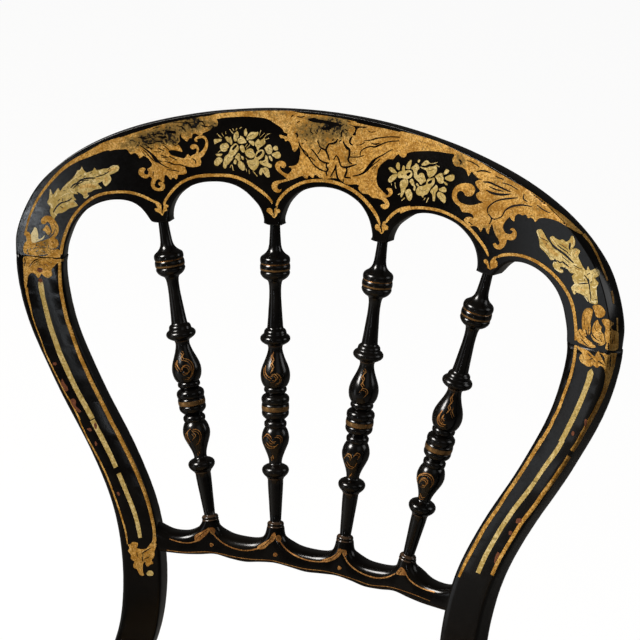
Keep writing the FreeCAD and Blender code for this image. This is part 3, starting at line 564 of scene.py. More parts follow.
@dataclass(frozen=True)
class BentBoard:
    """A board bent to the bow of the back, with rounded edges, in millimetres."""

    name: str
    node: str
    face: float
    rounding: dict
    thick_middle: float
    thick_end: float
    reach: float
    back: BackFrame = BackFrame()
    spacing: float = 1.6
    grid: float = 6.0
    neck: Mark = (1000.0, 1001.0, 0.0)
    thinning: float = 1.3
    batch: int = 400
    row_shares: tuple[float, ...] = (0.12, 0.35, 0.65, 1.0, 1.7)
    row_keep: float = 0.92
    grid_margin: float = 2.0

    def thickness(self, x: float) -> float:
        """Thickness of the board at a place sideways."""
        share = min(abs(x) / self.reach, 1.0) ** self.thinning
        return self.thick_middle + (self.thick_end - self.thick_middle) * share

    def thinned(self, rise: float) -> float:
        """How much the rear is set forward towards the top of the necks."""
        low, high, most = self.neck
        share = min(max((rise - low) / (high - low), 0.0), 1.0)
        return most * share * share * (3.0 - 2.0 * share)

    def distances(self, spots: np.ndarray, loop: np.ndarray, rims: list[Rim], rim: Rim) -> np.ndarray:
        """Distance of spots from the edges of one kind.

        Args:
            spots: places on the face.
            loop: the outline.
            rims: the kind of each side of the outline.
            rim: the kind to measure to.

        Returns:
            One distance for each spot.
        """
        sides = [i for i, kind in enumerate(rims) if kind is rim]
        start = loop[sides]
        along = loop[[(i + 1) % len(loop) for i in sides]] - start
        nearest = np.full(len(spots), 1e6)
        for begin in range(0, len(spots), self.batch):
            part = spots[begin:begin + self.batch]
            offset = part[:, None, :] - start[None]
            share = np.clip((offset * along).sum(2) / np.maximum((along ** 2).sum(1), 1e-9), 0.0, 1.0)
            gap = offset - share[..., None] * along[None]
            nearest[begin:begin + self.batch] = np.sqrt((gap ** 2).sum(2).min(1))
        return nearest

    def cap(self, loop: np.ndarray, rims: list[Rim], side: int) -> tuple[list, list, np.ndarray]:
        """The front or rear face of the board with its rounded rims.

        Args:
            loop: the outline, counterclockwise.
            rims: the kind of each side of the outline.
            side: 0 for the front, 1 for the rear.

        Returns:
            Points, faces and the place of each outline corner among the points.
        """
        after = np.roll(loop, -1, axis=0) - loop
        before = loop - np.roll(loop, 1, axis=0)
        tangent = (
            after / np.linalg.norm(after, axis=1)[:, None]
            + before / np.linalg.norm(before, axis=1)[:, None]
        )
        inward = np.stack([-tangent[:, 1], tangent[:, 0]], 1)
        inward /= np.maximum(np.linalg.norm(inward, axis=1)[:, None], 1e-9)
        extra = []
        for share in self.row_shares:
            radius = np.array([self.rounding.get(kind, (1.0, 1.0))[side] for kind in rims])
            row = loop + inward * (radius * share)[:, None]
            away = np.min([self.distances(row, loop, rims, kind) for kind in set(rims)], axis=0)
            extra.append(row[away > radius * share * self.row_keep])
        low, high = loop.min(0), loop.max(0)
        across, up = np.meshgrid(np.arange(low[0], high[0], self.grid), np.arange(low[1], high[1], self.grid))
        grid = np.stack([across.ravel(), up.ravel()], 1)
        away = np.min([self.distances(grid, loop, rims, kind) for kind in set(rims)], axis=0)
        widest = max(r[side] for r in self.rounding.values())
        extra.append(grid[away > widest * self.row_shares[-1] + self.grid_margin])
        spots = np.concatenate([loop] + extra)
        ring = list(range(len(loop)))
        result = delaunay_2d_cdt([Vector(p) for p in spots], [], [ring], 1, 1e-4)
        flat = np.array([tuple(p) for p in result[0]])
        drop = np.zeros(len(flat))
        for kind, radii in self.rounding.items():
            radius = radii[side]
            inside = np.clip(radius - self.distances(flat, loop, rims, kind), 0.0, radius)
            drop = np.maximum(drop, radius - np.sqrt(radius ** 2 - inside ** 2))
        points = []
        for (x, rise), sunk in zip(flat, drop):
            depth = (
                self.face - sunk if side == 0
                else self.face - self.thickness(x) + self.thinned(rise) + sunk
            )
            points.append(self.back.point(x, rise, depth))
        faces = [list(f) if side == 0 else list(reversed(f)) for f in result[2]]
        place = {}
        for new, originals in enumerate(result[3]):
            for old in originals:
                place[old] = new
        return points, faces, np.array([place[i] for i in ring])

    def build(self, outline: list[tuple[list[Pair], Rim]], material: bpy.types.Material) -> bpy.types.Object:
        """Make the board.

        Args:
            outline: rows of points and the kind of edge through them, counterclockwise.
            material: its finish.

        Returns:
            The piece.
        """
        loop, rims = [], []
        for row, rim in outline:
            samples = curve_through(row, self.spacing, False)[:-1]
            loop += samples
            rims += [rim] * len(samples)
        loop = np.array(loop)
        front, front_faces, front_ring = self.cap(loop, rims, 0)
        rear, rear_faces, rear_ring = self.cap(loop, rims, 1)
        count = len(front)
        faces = front_faces + [[i + count for i in f] for f in rear_faces]
        for i in range(len(loop)):
            j = (i + 1) % len(loop)
            faces.append([front_ring[i], rear_ring[i] + count, rear_ring[j] + count, front_ring[j]])
        mesh = shaded_mesh(self.name, front + rear, faces, material, BOARD_DEGREES)
        return seat_piece(mesh, self.name, self.node)


def mirrored_row(row: list[Pair]) -> list[Pair]:
    """The same row of points on the other side, in turned order."""
    return [(-x, rise) for x, rise in reversed(row)]


@dataclass(frozen=True)
class Crest:
    """The arched crest board; its outline in millimetres on the front face."""

    crown: tuple[Pair, ...] = (
        (201.0, 0.15), (201.2, 14.0), (196.6, 31.2), (188.4, 47.6), (176.2, 61.4), (161.7, 72.9),
        (145.8, 82.2), (129.6, 89.6), (113.6, 95.3), (98.0, 99.9), (83.0, 103.7), (68.3, 106.6),
        (54.2, 109.0), (40.3, 110.8), (26.7, 112.0), (13.3, 112.7), (0.0, 113.0),
    )
    outer_arch: tuple[Pair, ...] = (
        (116.4, 30.2), (117.9, 31.9), (120.8, 35.5), (124.2, 38.6), (128.5, 40.9), (134.3, 42.0),
        (141.0, 41.6), (147.6, 39.8), (154.4, 36.3), (161.3, 30.2), (166.2, 22.5), (168.9, 15.0),
        (170.9, 7.0), (171.5, 0.15),
    )
    middle_arch: tuple[Pair, ...] = (
        (42.4, 38.3), (42.3, 40.3), (43.4, 43.8), (45.8, 48.2), (50.3, 52.6), (56.3, 57.0), (63.0, 59.8),
        (70.0, 60.8), (76.5, 60.5), (84.0, 59.1), (90.5, 56.6), (97.0, 52.0), (101.0, 47.8), (103.6, 43.0),
        (105.0, 38.0), (105.2, 33.5), (104.6, 31.3),
    )
    center_arch: tuple[Pair, ...] = (
        (30.6, 38.3), (31.6, 40.2), (31.0, 44.0), (29.8, 48.0), (28.0, 52.0), (25.2, 56.0), (21.2, 60.0),
        (14.0, 63.9), (7.0, 65.9), (0.0, 66.5),
    )
    outer_cusp: tuple[Pair, ...] = ((104.6, 31.3), (107.0, 30.7), (114.0, 29.7), (116.4, 30.2))
    inner_cusp: tuple[Pair, ...] = ((30.6, 38.3), (33.0, 37.6), (40.0, 37.5), (42.4, 38.3))
    upper_rounding: Pair = (0.55, 6.0)
    lower_rounding: Pair = (0.9, 4.5)
    face: float = 5.5
    thick_middle: float = 13.0
    thick_end: float = 18.0
    reach: float = 190.0

    def build(self, lacquer: bpy.types.Material) -> bpy.types.Object:
        """Make the board, of the given lacquer."""
        arch = list(self.center_arch)
        center = [(-x, v) for x, v in arch] + list(reversed(arch[:-1]))
        right = [list(self.inner_cusp), list(self.middle_arch), list(self.outer_cusp), list(self.outer_arch)]
        outline = [(mirrored_row(row), Rim.LOWER) for row in reversed(right)]
        outline.append((center, Rim.LOWER))
        outline += [(row, Rim.LOWER) for row in right]
        outline.append(([self.outer_arch[-1], self.crown[0]], Rim.JOINT))
        outline.append((list(self.crown), Rim.UPPER))
        outline.append((mirrored_row(list(self.crown)), Rim.UPPER))
        outline.append((mirrored_row([self.outer_arch[-1], self.crown[0]]), Rim.JOINT))
        rounding = {Rim.UPPER: self.upper_rounding, Rim.LOWER: self.lower_rounding}
        sizes = (self.face, rounding, self.thick_middle, self.thick_end, self.reach)
        return BentBoard("crest_board", "crest_rail", *sizes).build(outline, lacquer)


@dataclass(frozen=True)
class LowerRail:
    """The scalloped lower rail with cupped peaks; its outline in millimetres."""

    outer_foot: float = 68.8
    inner_foot: float = 24.2
    outer_peak: float = -162.9
    inner_peak: float = -159.9
    half_cup: float = 5.6
    end: float = 104.6
    shape: tuple[Pair, ...] = (
        (0.00, 0.00), (0.02, 0.22), (0.07, 0.46), (0.15, 0.66), (0.27, 0.80), (0.43, 0.91), (0.68, 0.98),
        (1.0, 1.0),
    )
    hollow: float = -172.0
    end_row: tuple[Pair, ...] = (
        (73.9, -162.9), (74.6, -165.5), (76.4, -168.6), (79.6, -171.4), (84.0, -173.6), (89.5, -174.6),
        (95.0, -174.5), (99.5, -173.2), (104.6, -171.0),
    )
    underside: tuple[Pair, ...] = (
        (104.6, -188.2), (94.0, -188.0), (83.0, -187.4), (73.0, -186.0), (63.0, -184.2), (53.0, -185.4),
        (42.0, -185.9), (32.0, -184.2), (22.0, -183.0), (11.0, -183.8), (0.0, -184.8),
    )
    upper_rounding: Pair = (5.0, 5.0)
    lower_rounding: Pair = (1.6, 1.6)
    face: float = 5.0
    thick: float = 16.0
    reach: float = 104.0
    necks: Mark = (-171.5, -164.5, 5.4)

    def scallop(self, start: Pair, finish: Pair) -> list[Pair]:
        """One hollow between two cups.

        Args:
            start: edge of the right cup.
            finish: edge of the left cup.

        Returns:
            Points from right to left.
        """
        middle = (start[0] + finish[0]) / 2
        row = []
        for along, deep in self.shape:
            row.append((start[0] + (middle - start[0]) * along, start[1] + (self.hollow - start[1]) * deep))
        for along, deep in reversed(self.shape[:-1]):
            row.append((
                finish[0] + (middle - finish[0]) * along, finish[1] + (self.hollow - finish[1]) * deep,
            ))
        return row

    def build(self, lacquer: bpy.types.Material) -> bpy.types.Object:
        """Make the rail, of the given lacquer."""
        cup = self.half_cup
        right, inner = (self.outer_foot, self.outer_peak), (self.inner_foot, self.inner_peak)
        under = [(-x, v) for x, v in self.underside] + list(reversed(self.underside[:-1]))
        end_row = list(reversed(self.end_row))
        rows = [(under, Rim.LOWER), ([self.underside[0], end_row[0]], Rim.JOINT), (end_row, Rim.UPPER)]
        feet = [right, inner, (-inner[0], inner[1]), (-right[0], right[1])]
        for place, (x, rise) in enumerate(feet):
            rows.append(([(x + cup, rise), (x - cup, rise)], Rim.JOINT))
            if place < 3:
                following = feet[place + 1]
                rows.append((self.scallop((x - cup, rise), (following[0] + cup, following[1])), Rim.UPPER))
        rows.append((mirrored_row(end_row), Rim.UPPER))
        rows.append(([(-self.end, self.end_row[-1][1]), (-self.end, self.underside[0][1])], Rim.JOINT))
        rounding = {Rim.UPPER: self.upper_rounding, Rim.LOWER: self.lower_rounding}
        sizes = (self.face, rounding, self.thick, self.thick, self.reach)
        rail = BentBoard("scalloped_rail", "lower_back_rail", *sizes, spacing=1.0, grid=3.0, neck=self.necks)
        return rail.build(rows, lacquer)


# Turned pieces
@dataclass(frozen=True)
class Spindle:
    """A turned spindle; its profile as marks along the visible length and half widths."""

    name: str
    foot: Pair
    top: Pair
    marks_to_mm: float = 1.519
    halves_to_mm: float = 1.46
    last_mark: float = 298.0
    into_crest: float = 3.0
    sides: int = 48
    back: BackFrame = BackFrame()
    profile: tuple[Pair, ...] = (
        (0, 4.7), (10, 5.1), (18, 5.6), (22, 6.4), (24.5, 7.6), (26.5, 9.2), (28.0, 11.0), (29.2, 12.6),
        (30.4, 13.5), (32, 13.9), (34, 13.9), (35.4, 13.6), (36.0, 13.0), (36.7, 13.6), (38.5, 14.0),
        (41, 14.0), (42.6, 13.7), (43.3, 13.0), (44, 13.6), (45.5, 13.8), (47.5, 13.1), (49.5, 11.7),
        (51, 10.0), (52, 8.3), (53, 6.9), (55, 6.2), (58, 5.7), (63, 5.5), (70, 5.6), (80, 6.2), (90, 6.8),
        (98, 7.4), (100, 7.8), (100.8, 9.2), (102, 10.1), (104, 10.5), (105, 10.6), (105.8, 11.2),
        (107, 12.8), (108.5, 13.8), (110, 14.0), (111.5, 13.7), (113, 12.6), (114.5, 10.6), (115.6, 8.6),
        (116.2, 7.6), (116.8, 6.9), (117.6, 7.0), (118.4, 6.6), (121, 6.7), (124, 7.3), (128, 8.5),
        (132, 10.0), (136, 11.6), (140, 12.95), (144, 13.7), (147, 13.8), (150, 13.5), (153, 12.8),
        (156, 11.4), (157.8, 9.8), (158.4, 10.2), (160, 10.7), (161.8, 10.5), (163.2, 9.4), (164, 8.1),
        (164.8, 9.6), (166, 11.4), (167.6, 12.7), (169.6, 13.1), (171.8, 12.9), (173.2, 12.4), (173.8, 11.9),
        (174.4, 12.6), (176.5, 12.9), (179, 12.9), (180.8, 12.6), (181.4, 12.0), (182, 12.6), (184, 12.7),
        (186, 12.2), (187.6, 11.0), (189, 9.6), (190, 8.6), (190.7, 8.2), (191.4, 9.2), (193, 10.4),
        (195, 10.5), (196.8, 10.1), (197.8, 9.5), (199, 10.4), (201, 11.4), (204, 12.3), (208, 12.9),
        (211, 12.7), (214, 12.1), (218, 10.6), (222, 9.0), (226, 7.5), (229.5, 6.5), (232.5, 6.0),
        (234.5, 6.1), (235.4, 7.4), (236.2, 9.4), (237.5, 11.3), (239.2, 12.4), (241, 12.7), (243, 12.3),
        (245, 11.2), (246.8, 9.6), (248, 8.4), (248.8, 8.0), (249.6, 7.7), (250.2, 7.3), (255, 7.2),
        (262, 6.9), (272, 6.3), (284, 5.7), (292.5, 5.2), (293.2, 5.6), (293.8, 7.2), (294.8, 7.8),
        (296, 7.9), (296.8, 7.3), (297.4, 7.9), (298, 8.0),
    )

    def rows(self) -> list[tuple[float, float, float]]:
        """Height and radius in metres and the mark of each row, foot first."""
        found = []
        for mark, half in reversed(self.profile):
            height = (self.last_mark - mark) / self.marks_to_mm
            found.append((height * MM, half / self.halves_to_mm * MM, mark))
        height = self.last_mark / self.marks_to_mm + self.into_crest
        found.append((height * MM, self.profile[0][1] / self.halves_to_mm * MM * 0.99, 0.0))
        return found

    def build(self, material: bpy.types.Material) -> bpy.types.Object:
        """Turn the spindle, of the given finish."""
        start = self.back.axis(*self.foot)
        axis = (self.back.axis(*self.top) - start).normalized()
        side = axis.cross(Vector((0.0, 1.0, 0.0))).normalized()
        front = axis.cross(side)
        rows = self.rows()
        points = [start]
        marks = [self.last_mark]
        for height, radius, mark in rows:
            for k in range(self.sides):
                turn = math.tau * k / self.sides
                points.append(
                    start + axis * height + (side * math.cos(turn) + front * math.sin(turn)) * radius
                )
                marks.append(mark)
        points.append(start + axis * rows[-1][0])
        marks.append(0.0)
        faces = []
        for k in range(self.sides):
            after = (k + 1) % self.sides
            faces.append([0, 1 + after, 1 + k])
            for row in range(len(rows) - 1):
                low, high = 1 + row * self.sides, 1 + (row + 1) * self.sides
                faces.append([low + k, low + after, high + after, high + k])
            last = 1 + (len(rows) - 1) * self.sides
            faces.append([last + k, last + after, len(points) - 1])
        mesh = shaded_mesh(self.name + "_turned", points, faces, material, SOFT_DEGREES)
        mesh.attributes.new("along", "FLOAT", "POINT").data.foreach_set("value", marks)
        return seat_piece(mesh, self.name + "_turned", self.name)


# The caned seat
@dataclass(frozen=True)
class CanedSeat:
    """Split cane woven over the opening of the seat, in millimetres."""

    seat: float = 440.0
    half_width: float = 206.0
    depth: float = 402.0
    shift: float = 162.167
    pitch: float = 12.4
    pair_gap: float = 3.0
    strand: float = 2.1
    thick: float = 0.34
    panel: float = 437.8
    edge: float = 8.2
    rear: Pair = (0.530, 0.1144)
    side: Pair = (0.680, 0.500)
    front: Pair = (0.790, 0.868)
    brow: Pair = (0.42, 0.892)
    nose: Pair = (0.000, 0.898)
    corner_cut: float = 5.0
    over_panel: float = 0.2
    layer_step: float = 0.8
    most_rows: int = 40

    def outline(self) -> np.ndarray:
        """The rim that the cane runs to, as points seen from above."""
        spots = [self.rear, self.side, self.front, self.brow, self.nose]
        row = [(x * self.half_width + self.edge, -f * self.depth) for x, f in spots]
        row[0] = (row[0][0], row[0][1] + self.edge)
        row[-1] = (0.0, row[-1][1] - self.edge)
        row[-2] = (row[-2][0], row[-2][1] - self.edge)
        row[2] = (row[2][0] - self.corner_cut, row[2][1] - self.edge + self.corner_cut)
        half = [tuple(p) for p in curve_through(row, 5.0, False)]
        loop = half + [(-x, y) for x, y in reversed(half[:-1])]
        return np.array(loop) + np.array([0.0, self.shift])

    def crossings(self, loop: np.ndarray, origin: np.ndarray, direction: np.ndarray) -> list[float]:
        """Where a line crosses the rim.

        Args:
            loop: the rim.
            origin: a point of the line.
            direction: the line's direction.

        Returns:
            Sorted distances along the line.
        """
        normal = np.array([-direction[1], direction[0]])
        level = (loop - origin) @ normal
        found = []
        for i in range(len(loop)):
            j = (i + 1) % len(loop)
            if level[i] * level[j] < 0.0:
                share = level[i] / (level[i] - level[j])
                spot = loop[i] + (loop[j] - loop[i]) * share
                found.append(float((spot - origin) @ direction))
        return sorted(found)

    def strands(self) -> list[tuple[Vector, Vector]]:
        """Ends of every strand in metres."""
        loop = self.outline()
        middle = (loop.min(0) + loop.max(0)) / 2
        layers = [
            (90.0, self.pitch, True), (0.0, self.pitch, True), (45.0, self.pitch / math.sqrt(2) * 2, False),
            (135.0, self.pitch / math.sqrt(2) * 2, False),
        ]
        found = []
        for layer, (angle, pitch, paired) in enumerate(layers):
            direction = np.array([math.cos(math.radians(angle)), math.sin(math.radians(angle))])
            normal = np.array([-direction[1], direction[0]])
            height = self.panel + self.over_panel + self.thick * self.layer_step * layer
            for number in range(-self.most_rows, self.most_rows + 1):
                for gap in ((-self.pair_gap / 2, self.pair_gap / 2) if paired else (self.pitch / 4,)):
                    origin = middle + normal * (number * pitch + gap)
                    ends = self.crossings(loop, origin, direction)
                    if len(ends) == 2 and ends[1] - ends[0] > self.pitch:
                        a, b = (origin + direction * e for e in ends)
                        found.append((Vector((a[0], a[1], height)) * MM, Vector((b[0], b[1], height)) * MM))
        return found

    def strand_tree(self, material: bpy.types.Material) -> bpy.types.NodeTree:
        """Geometry nodes that lay a flat strand along each edge.

        Args:
            material: the strand's finish.

        Returns:
            The node tree.
        """
        tree = bpy.data.node_groups.new("cane_strands", "GeometryNodeTree")
        tree.interface.new_socket("Lines", in_out="INPUT", socket_type="NodeSocketGeometry")
        tree.interface.new_socket("Strand width", in_out="INPUT", socket_type="NodeSocketFloat")
        tree.interface.new_socket("Strand thickness", in_out="INPUT", socket_type="NodeSocketFloat")
        tree.interface.new_socket("Cane", in_out="OUTPUT", socket_type="NodeSocketGeometry")
        start = tree.nodes.new("NodeGroupInput")
        end = tree.nodes.new("NodeGroupOutput")
        curve = tree.nodes.new("GeometryNodeMeshToCurve")
        level = tree.nodes.new("GeometryNodeSetCurveNormal")
        level.mode = "Z_UP"
        section = tree.nodes.new("GeometryNodeCurvePrimitiveQuadrilateral")
        sweep = tree.nodes.new("GeometryNodeCurveToMesh")
        sweep.inputs["Fill Caps"].default_value = True
        realize = tree.nodes.new("GeometryNodeRealizeInstances")
        dress = tree.nodes.new("GeometryNodeSetMaterial")
        dress.inputs["Material"].default_value = material
        links = tree.links
        links.new(start.outputs["Lines"], curve.inputs[0])
        links.new(curve.outputs[0], level.inputs[0])
        links.new(start.outputs["Strand width"], section.inputs["Width"])
        links.new(start.outputs["Strand thickness"], section.inputs["Height"])
        links.new(level.outputs[0], sweep.inputs["Curve"])
        links.new(section.outputs[0], sweep.inputs["Profile Curve"])
        links.new(sweep.outputs[0], realize.inputs[0])
        links.new(realize.outputs[0], dress.inputs[0])
        links.new(dress.outputs[0], end.inputs[0])
        return tree

    def build(self, material: bpy.types.Material) -> bpy.types.Object:
        """Weave the seat, of the given cane."""
        points, edges = [], []
        for a, b in self.strands():
            edges.append((len(points), len(points) + 1))
            points += [tuple(a), tuple(b)]
        lines = bpy.data.meshes.new("cane_lines")
        lines.from_pydata(points, edges, [])
        carrier = bpy.data.objects.new("cane_lines", lines)
        bpy.context.scene.collection.objects.link(carrier)
        tree = self.strand_tree(material)
        weave = carrier.modifiers.new("weave", "NODES")
        weave.node_group = tree
        sizes = {"Strand width": self.strand * MM, "Strand thickness": self.thick * MM}
        for item in tree.interface.items_tree:
            if item.in_out == "INPUT" and item.name in sizes:
                weave[item.identifier] = sizes[item.name]
        evaluated = carrier.evaluated_get(bpy.context.evaluated_depsgraph_get())
        mesh = bpy.data.meshes.new_from_object(evaluated)
        bpy.data.objects.remove(carrier)
        mesh.name = "woven_cane"
        return seat_piece(mesh, "woven_cane", "cane_seat")


# Stencilled ornament
class Paint(Enum):
    """What a stencilled shape is laid down in."""

    BRONZE = 0
    PALE = 1
    # cream paint is painted highlight, laid where light reflects on the shell and sprigs
    CREAM_HIGHLIGHT = 2
    BARE = 3
    BLACK = 4
    RICH = 5


Shape = tuple[Paint, list[Pair]]


@dataclass(frozen=True)
class Sheet:
    """A close drawing of one part of the back; its points turn into points of the picture."""

    left: float
    top: float
    scale: float
    spacing: float = 0.9
    vein: float = 1.9

    def placed(self, points: list[np.ndarray]) -> list[Pair]:
        """Points of the sheet in the picture."""
        return [(self.left + p[0] / self.scale, self.top + p[1] / self.scale) for p in points]

    def patch(self, paint: Paint, outline: tuple[Pair, ...]) -> list[Shape]:
        """A filled shape.

        Args:
            paint: what it is laid down in.
            outline: its outline on the sheet.

        Returns:
            The shape.
        """
        return [(paint, self.placed(curve_through(list(outline), self.spacing * self.scale, True)))]

    def strokes(self, paint: Paint, *spines: tuple[Mark, ...]) -> list[Shape]:
        """Brush strokes of changing width.

        Args:
            paint: what they are laid down in.
            spines: place and width along each stroke.

        Returns:
            The strokes in short pieces.
        """
        shapes = []
        for spine in spines:
            row = np.array(curve_through(list(spine), 1.8 * self.scale * self.spacing, False))
            run = np.gradient(row[:, :2], axis=0)
            across = np.stack([-run[:, 1], run[:, 0]], 1) / np.maximum(
                np.linalg.norm(run, axis=1)[:, None], 1e-9
            )
            half = np.maximum(row[:, 2:3], 1.0) / 2 * (self.vein if paint is Paint.BLACK else 1.0)
            lanes = max(1, round(float(half.max()) * 2 / self.scale))
            rows = []
            for lane in range(lanes + 1):
                rows.append(self.placed(list(row[:, :2] + across * half * (1.0 - 2.0 * lane / lanes))))
            for near, far in zip(rows, rows[1:]):
                for i in range(len(row) - 1):
                    shapes.append((paint, [near[i], near[i + 1], far[i + 1], far[i]]))
        return shapes

    def petals(self, paint: Paint, marks: tuple[tuple, ...]) -> list[Shape]:
        """Leaf shaped dabs.

        Args:
            paint: what they are laid down in.
            marks: middle, half length, half width and upward angle of each dab.

        Returns:
            The dabs.
        """
        shapes = []
        for x, y, length, width, angle in marks:
            turn = math.radians(-angle)
            outline = []
            for k in range(14):
                a = math.tau * k / 14
                u = math.cos(a) * length * (1.0 + 0.06 * math.cos(3 * a + x))
                v = math.sin(a) * width * (1.0 - 0.22 * math.cos(a)) * (1.0 + 0.06 * math.sin(2 * a + y))
                outline.append(np.array((x + u * math.cos(turn) - v * math.sin(turn),
                                         y + u * math.sin(turn) + v * math.cos(turn))))
            shapes.append((paint, self.placed(outline)))
        return shapes


def face_tone_and_highlight(cover: set[Paint]) -> float:
    """The number a face gets from the paints over it: 0 bronze, 1 pale, 2 painted highlight."""
    if Paint.CREAM_HIGHLIGHT in cover:
        return 2.0
    if Paint.PALE not in cover:
        return 0.0
    return 0.45 if Paint.RICH in cover else 1.0


@dataclass(frozen=True)
class Stencil:
    """Lays stencilled shapes on a board as seen from the photograph's camera."""

    name: str
    shapes: list
    camera: PhotoCamera = field(default_factory=PhotoCamera)
    lift: float = 0.0002
    grid: float = 2.0
    worn: tuple[tuple[float, float, float, float], ...] = (
        (147, 140, 7, 0.7), (174, 140, 5, 0.9), (193, 123, 6, 0.8), (163, 137, 6, 0.8), (150, 137, 16, 0.5),
        (165, 133, 12, 0.5), (180, 128, 12, 0.5), (133, 143, 10, 0.5), (200, 118, 14, 0.42),
        (340, 150, 42, 0.2), (125, 146, 8, 0.4), (190, 124, 12, 0.35), (212, 126, 8, 0.6),
        (318, 130, 20, 0.62), (335, 124, 12, 0.6), (300, 130, 10, 0.35), (345, 130, 8, 0.4),
        (256, 112, 8, 0.4), (459, 160, 8, 0.7), (500, 185, 20, 0.35), (540, 205, 15, 0.4),
        (575, 235, 12, 0.4), (42, 247, 12, 0.5),
    )
    least_area: float = 1e-4
    grid_offset: Pair = (0.13, 0.17)
    tries_px: tuple[float, ...] = (0.0, 0.6, 1.2, 2.0, 3.0)
    sides: tuple[Pair, ...] = ((0, 0), (0, 1), (1, 0), (-1, 0), (0, -1), (0.7, 0.7), (-0.7, 0.7))
    facing: float = -0.12
    longest_side: float = 0.012

    def flat(self) -> tuple[np.ndarray, list[list[int]], list[set[Paint]]]:
        """Triangles of all shapes in the picture.

        Returns:
            Points, triangles and the paints that cover each triangle.
        """
        points, rings, paints = [], [], []
        for paint, outline in self.shapes:
            ring = np.array(outline) * (1.0, -1.0)
            ahead = np.roll(ring, -1, axis=0)
            area = float(np.sum(ring[:, 0] * ahead[:, 1] - ring[:, 1] * ahead[:, 0]))
            if abs(area) < self.least_area:
                continue
            if area < 0.0:
                ring = ring[::-1]
            rings.append(list(range(len(points), len(points) + len(ring))))
            paints.append(paint)
            points += [Vector(p) for p in ring]
        spots = np.array([tuple(p) for p in points])
        low, high = spots.min(0), spots.max(0)
        across, up = np.meshgrid(np.arange(low[0], high[0], self.grid), np.arange(low[1], high[1], self.grid))
        aside, over = self.grid_offset
        points += [Vector(p) for p in zip(across.ravel() + aside, up.ravel() + over)]
        result = delaunay_2d_cdt(points, [], rings, 1, 1e-5)
        found, faces, covers = np.array([tuple(p) for p in result[0]]), [], []
        for face, origins in zip(result[2], result[5]):
            cover = {paints[i] for i in origins}
            if cover and Paint.BLACK not in cover:
                faces.append(list(face))
                covers.append(cover)
        used = sorted({i for f in faces for i in f})
        place = {old: new for new, old in enumerate(used)}
        return found[used] * (1.0, -1.0), [[place[i] for i in f] for f in faces], covers

    def landed(self, tree: BVHTree, pixel: Pair) -> Vector | None:
        """Where a pixel's ray meets the board, just over its surface.

        Args:
            tree: the board's faces.
            pixel: place in the picture.

        Returns:
            The point, or nothing beside the board.
        """
        for step in self.tries_px:
            for dx, dy in self.sides:
                ray = self.camera.ray((pixel[0] + dx * step, pixel[1] + dy * step))
                hit, normal, _, _ = tree.ray_cast(self.camera.place, ray)
                if hit is not None and normal.dot(ray) < self.facing:
                    return hit + normal * self.lift
        return None

    def lay(self, board: bpy.types.Object, bronze: bpy.types.Material) -> bpy.types.Object:
        """Make the ornament as a thin film of its own.

        Args:
            board: the board that carries it.
            bronze: its finish.

        Returns:
            The piece.
        """
        mesh = board.data
        tree = BVHTree.FromPolygons([v.co for v in mesh.vertices], [tuple(p.vertices) for p in mesh.polygons])
        spots, faces, covers = self.flat()
        landed = [self.landed(tree, tuple(p)) for p in spots]
        kept, tones_and_highlights, rusts = [], [], []
        for face, cover in zip(faces, covers):
            corners = [landed[i] for i in face]
            if any(c is None for c in corners):
                continue
            if max((corners[i] - corners[i - 1]).length for i in range(len(corners))) > self.longest_side:
                continue
            normal = (corners[1] - corners[0]).cross(corners[2] - corners[0])
            if normal.dot(self.camera.place - corners[0]) < 0.0:
                face = face[::-1]
            kept.append(face)
            tones_and_highlights.append(face_tone_and_highlight(cover))
            rusts.append(1.0 if Paint.BARE in cover else 0.0)
        used = sorted({i for f in kept for i in f})
        place = {old: new for new, old in enumerate(used)}
        rows = [[place[i] for i in f] for f in kept]
        film = shaded_mesh(self.name, [landed[i] for i in used], rows, bronze, SOFT_DEGREES)
        # value 2 marks faces of painted highlight
        film.attributes.new("tone_and_highlight", "FLOAT", "FACE").data.foreach_set("value", tones_and_highlights)
        film.attributes.new("rust", "FLOAT", "FACE").data.foreach_set("value", rusts)
        film.attributes.new("wear", "FLOAT", "POINT").data.foreach_set("value", self.wear(spots[used]))
        return seat_piece(film, self.name)

    def wear(self, spots: np.ndarray) -> list[float]:
        """How rubbed the gold is at places in the picture."""
        total = np.zeros(len(spots))
        for x, y, radius, strength in self.worn:
            away = np.hypot(spots[:, 0] - x, spots[:, 1] - y) / radius
            total += strength * np.exp(-away ** 2)
        return np.minimum(total, 1.0).tolist()


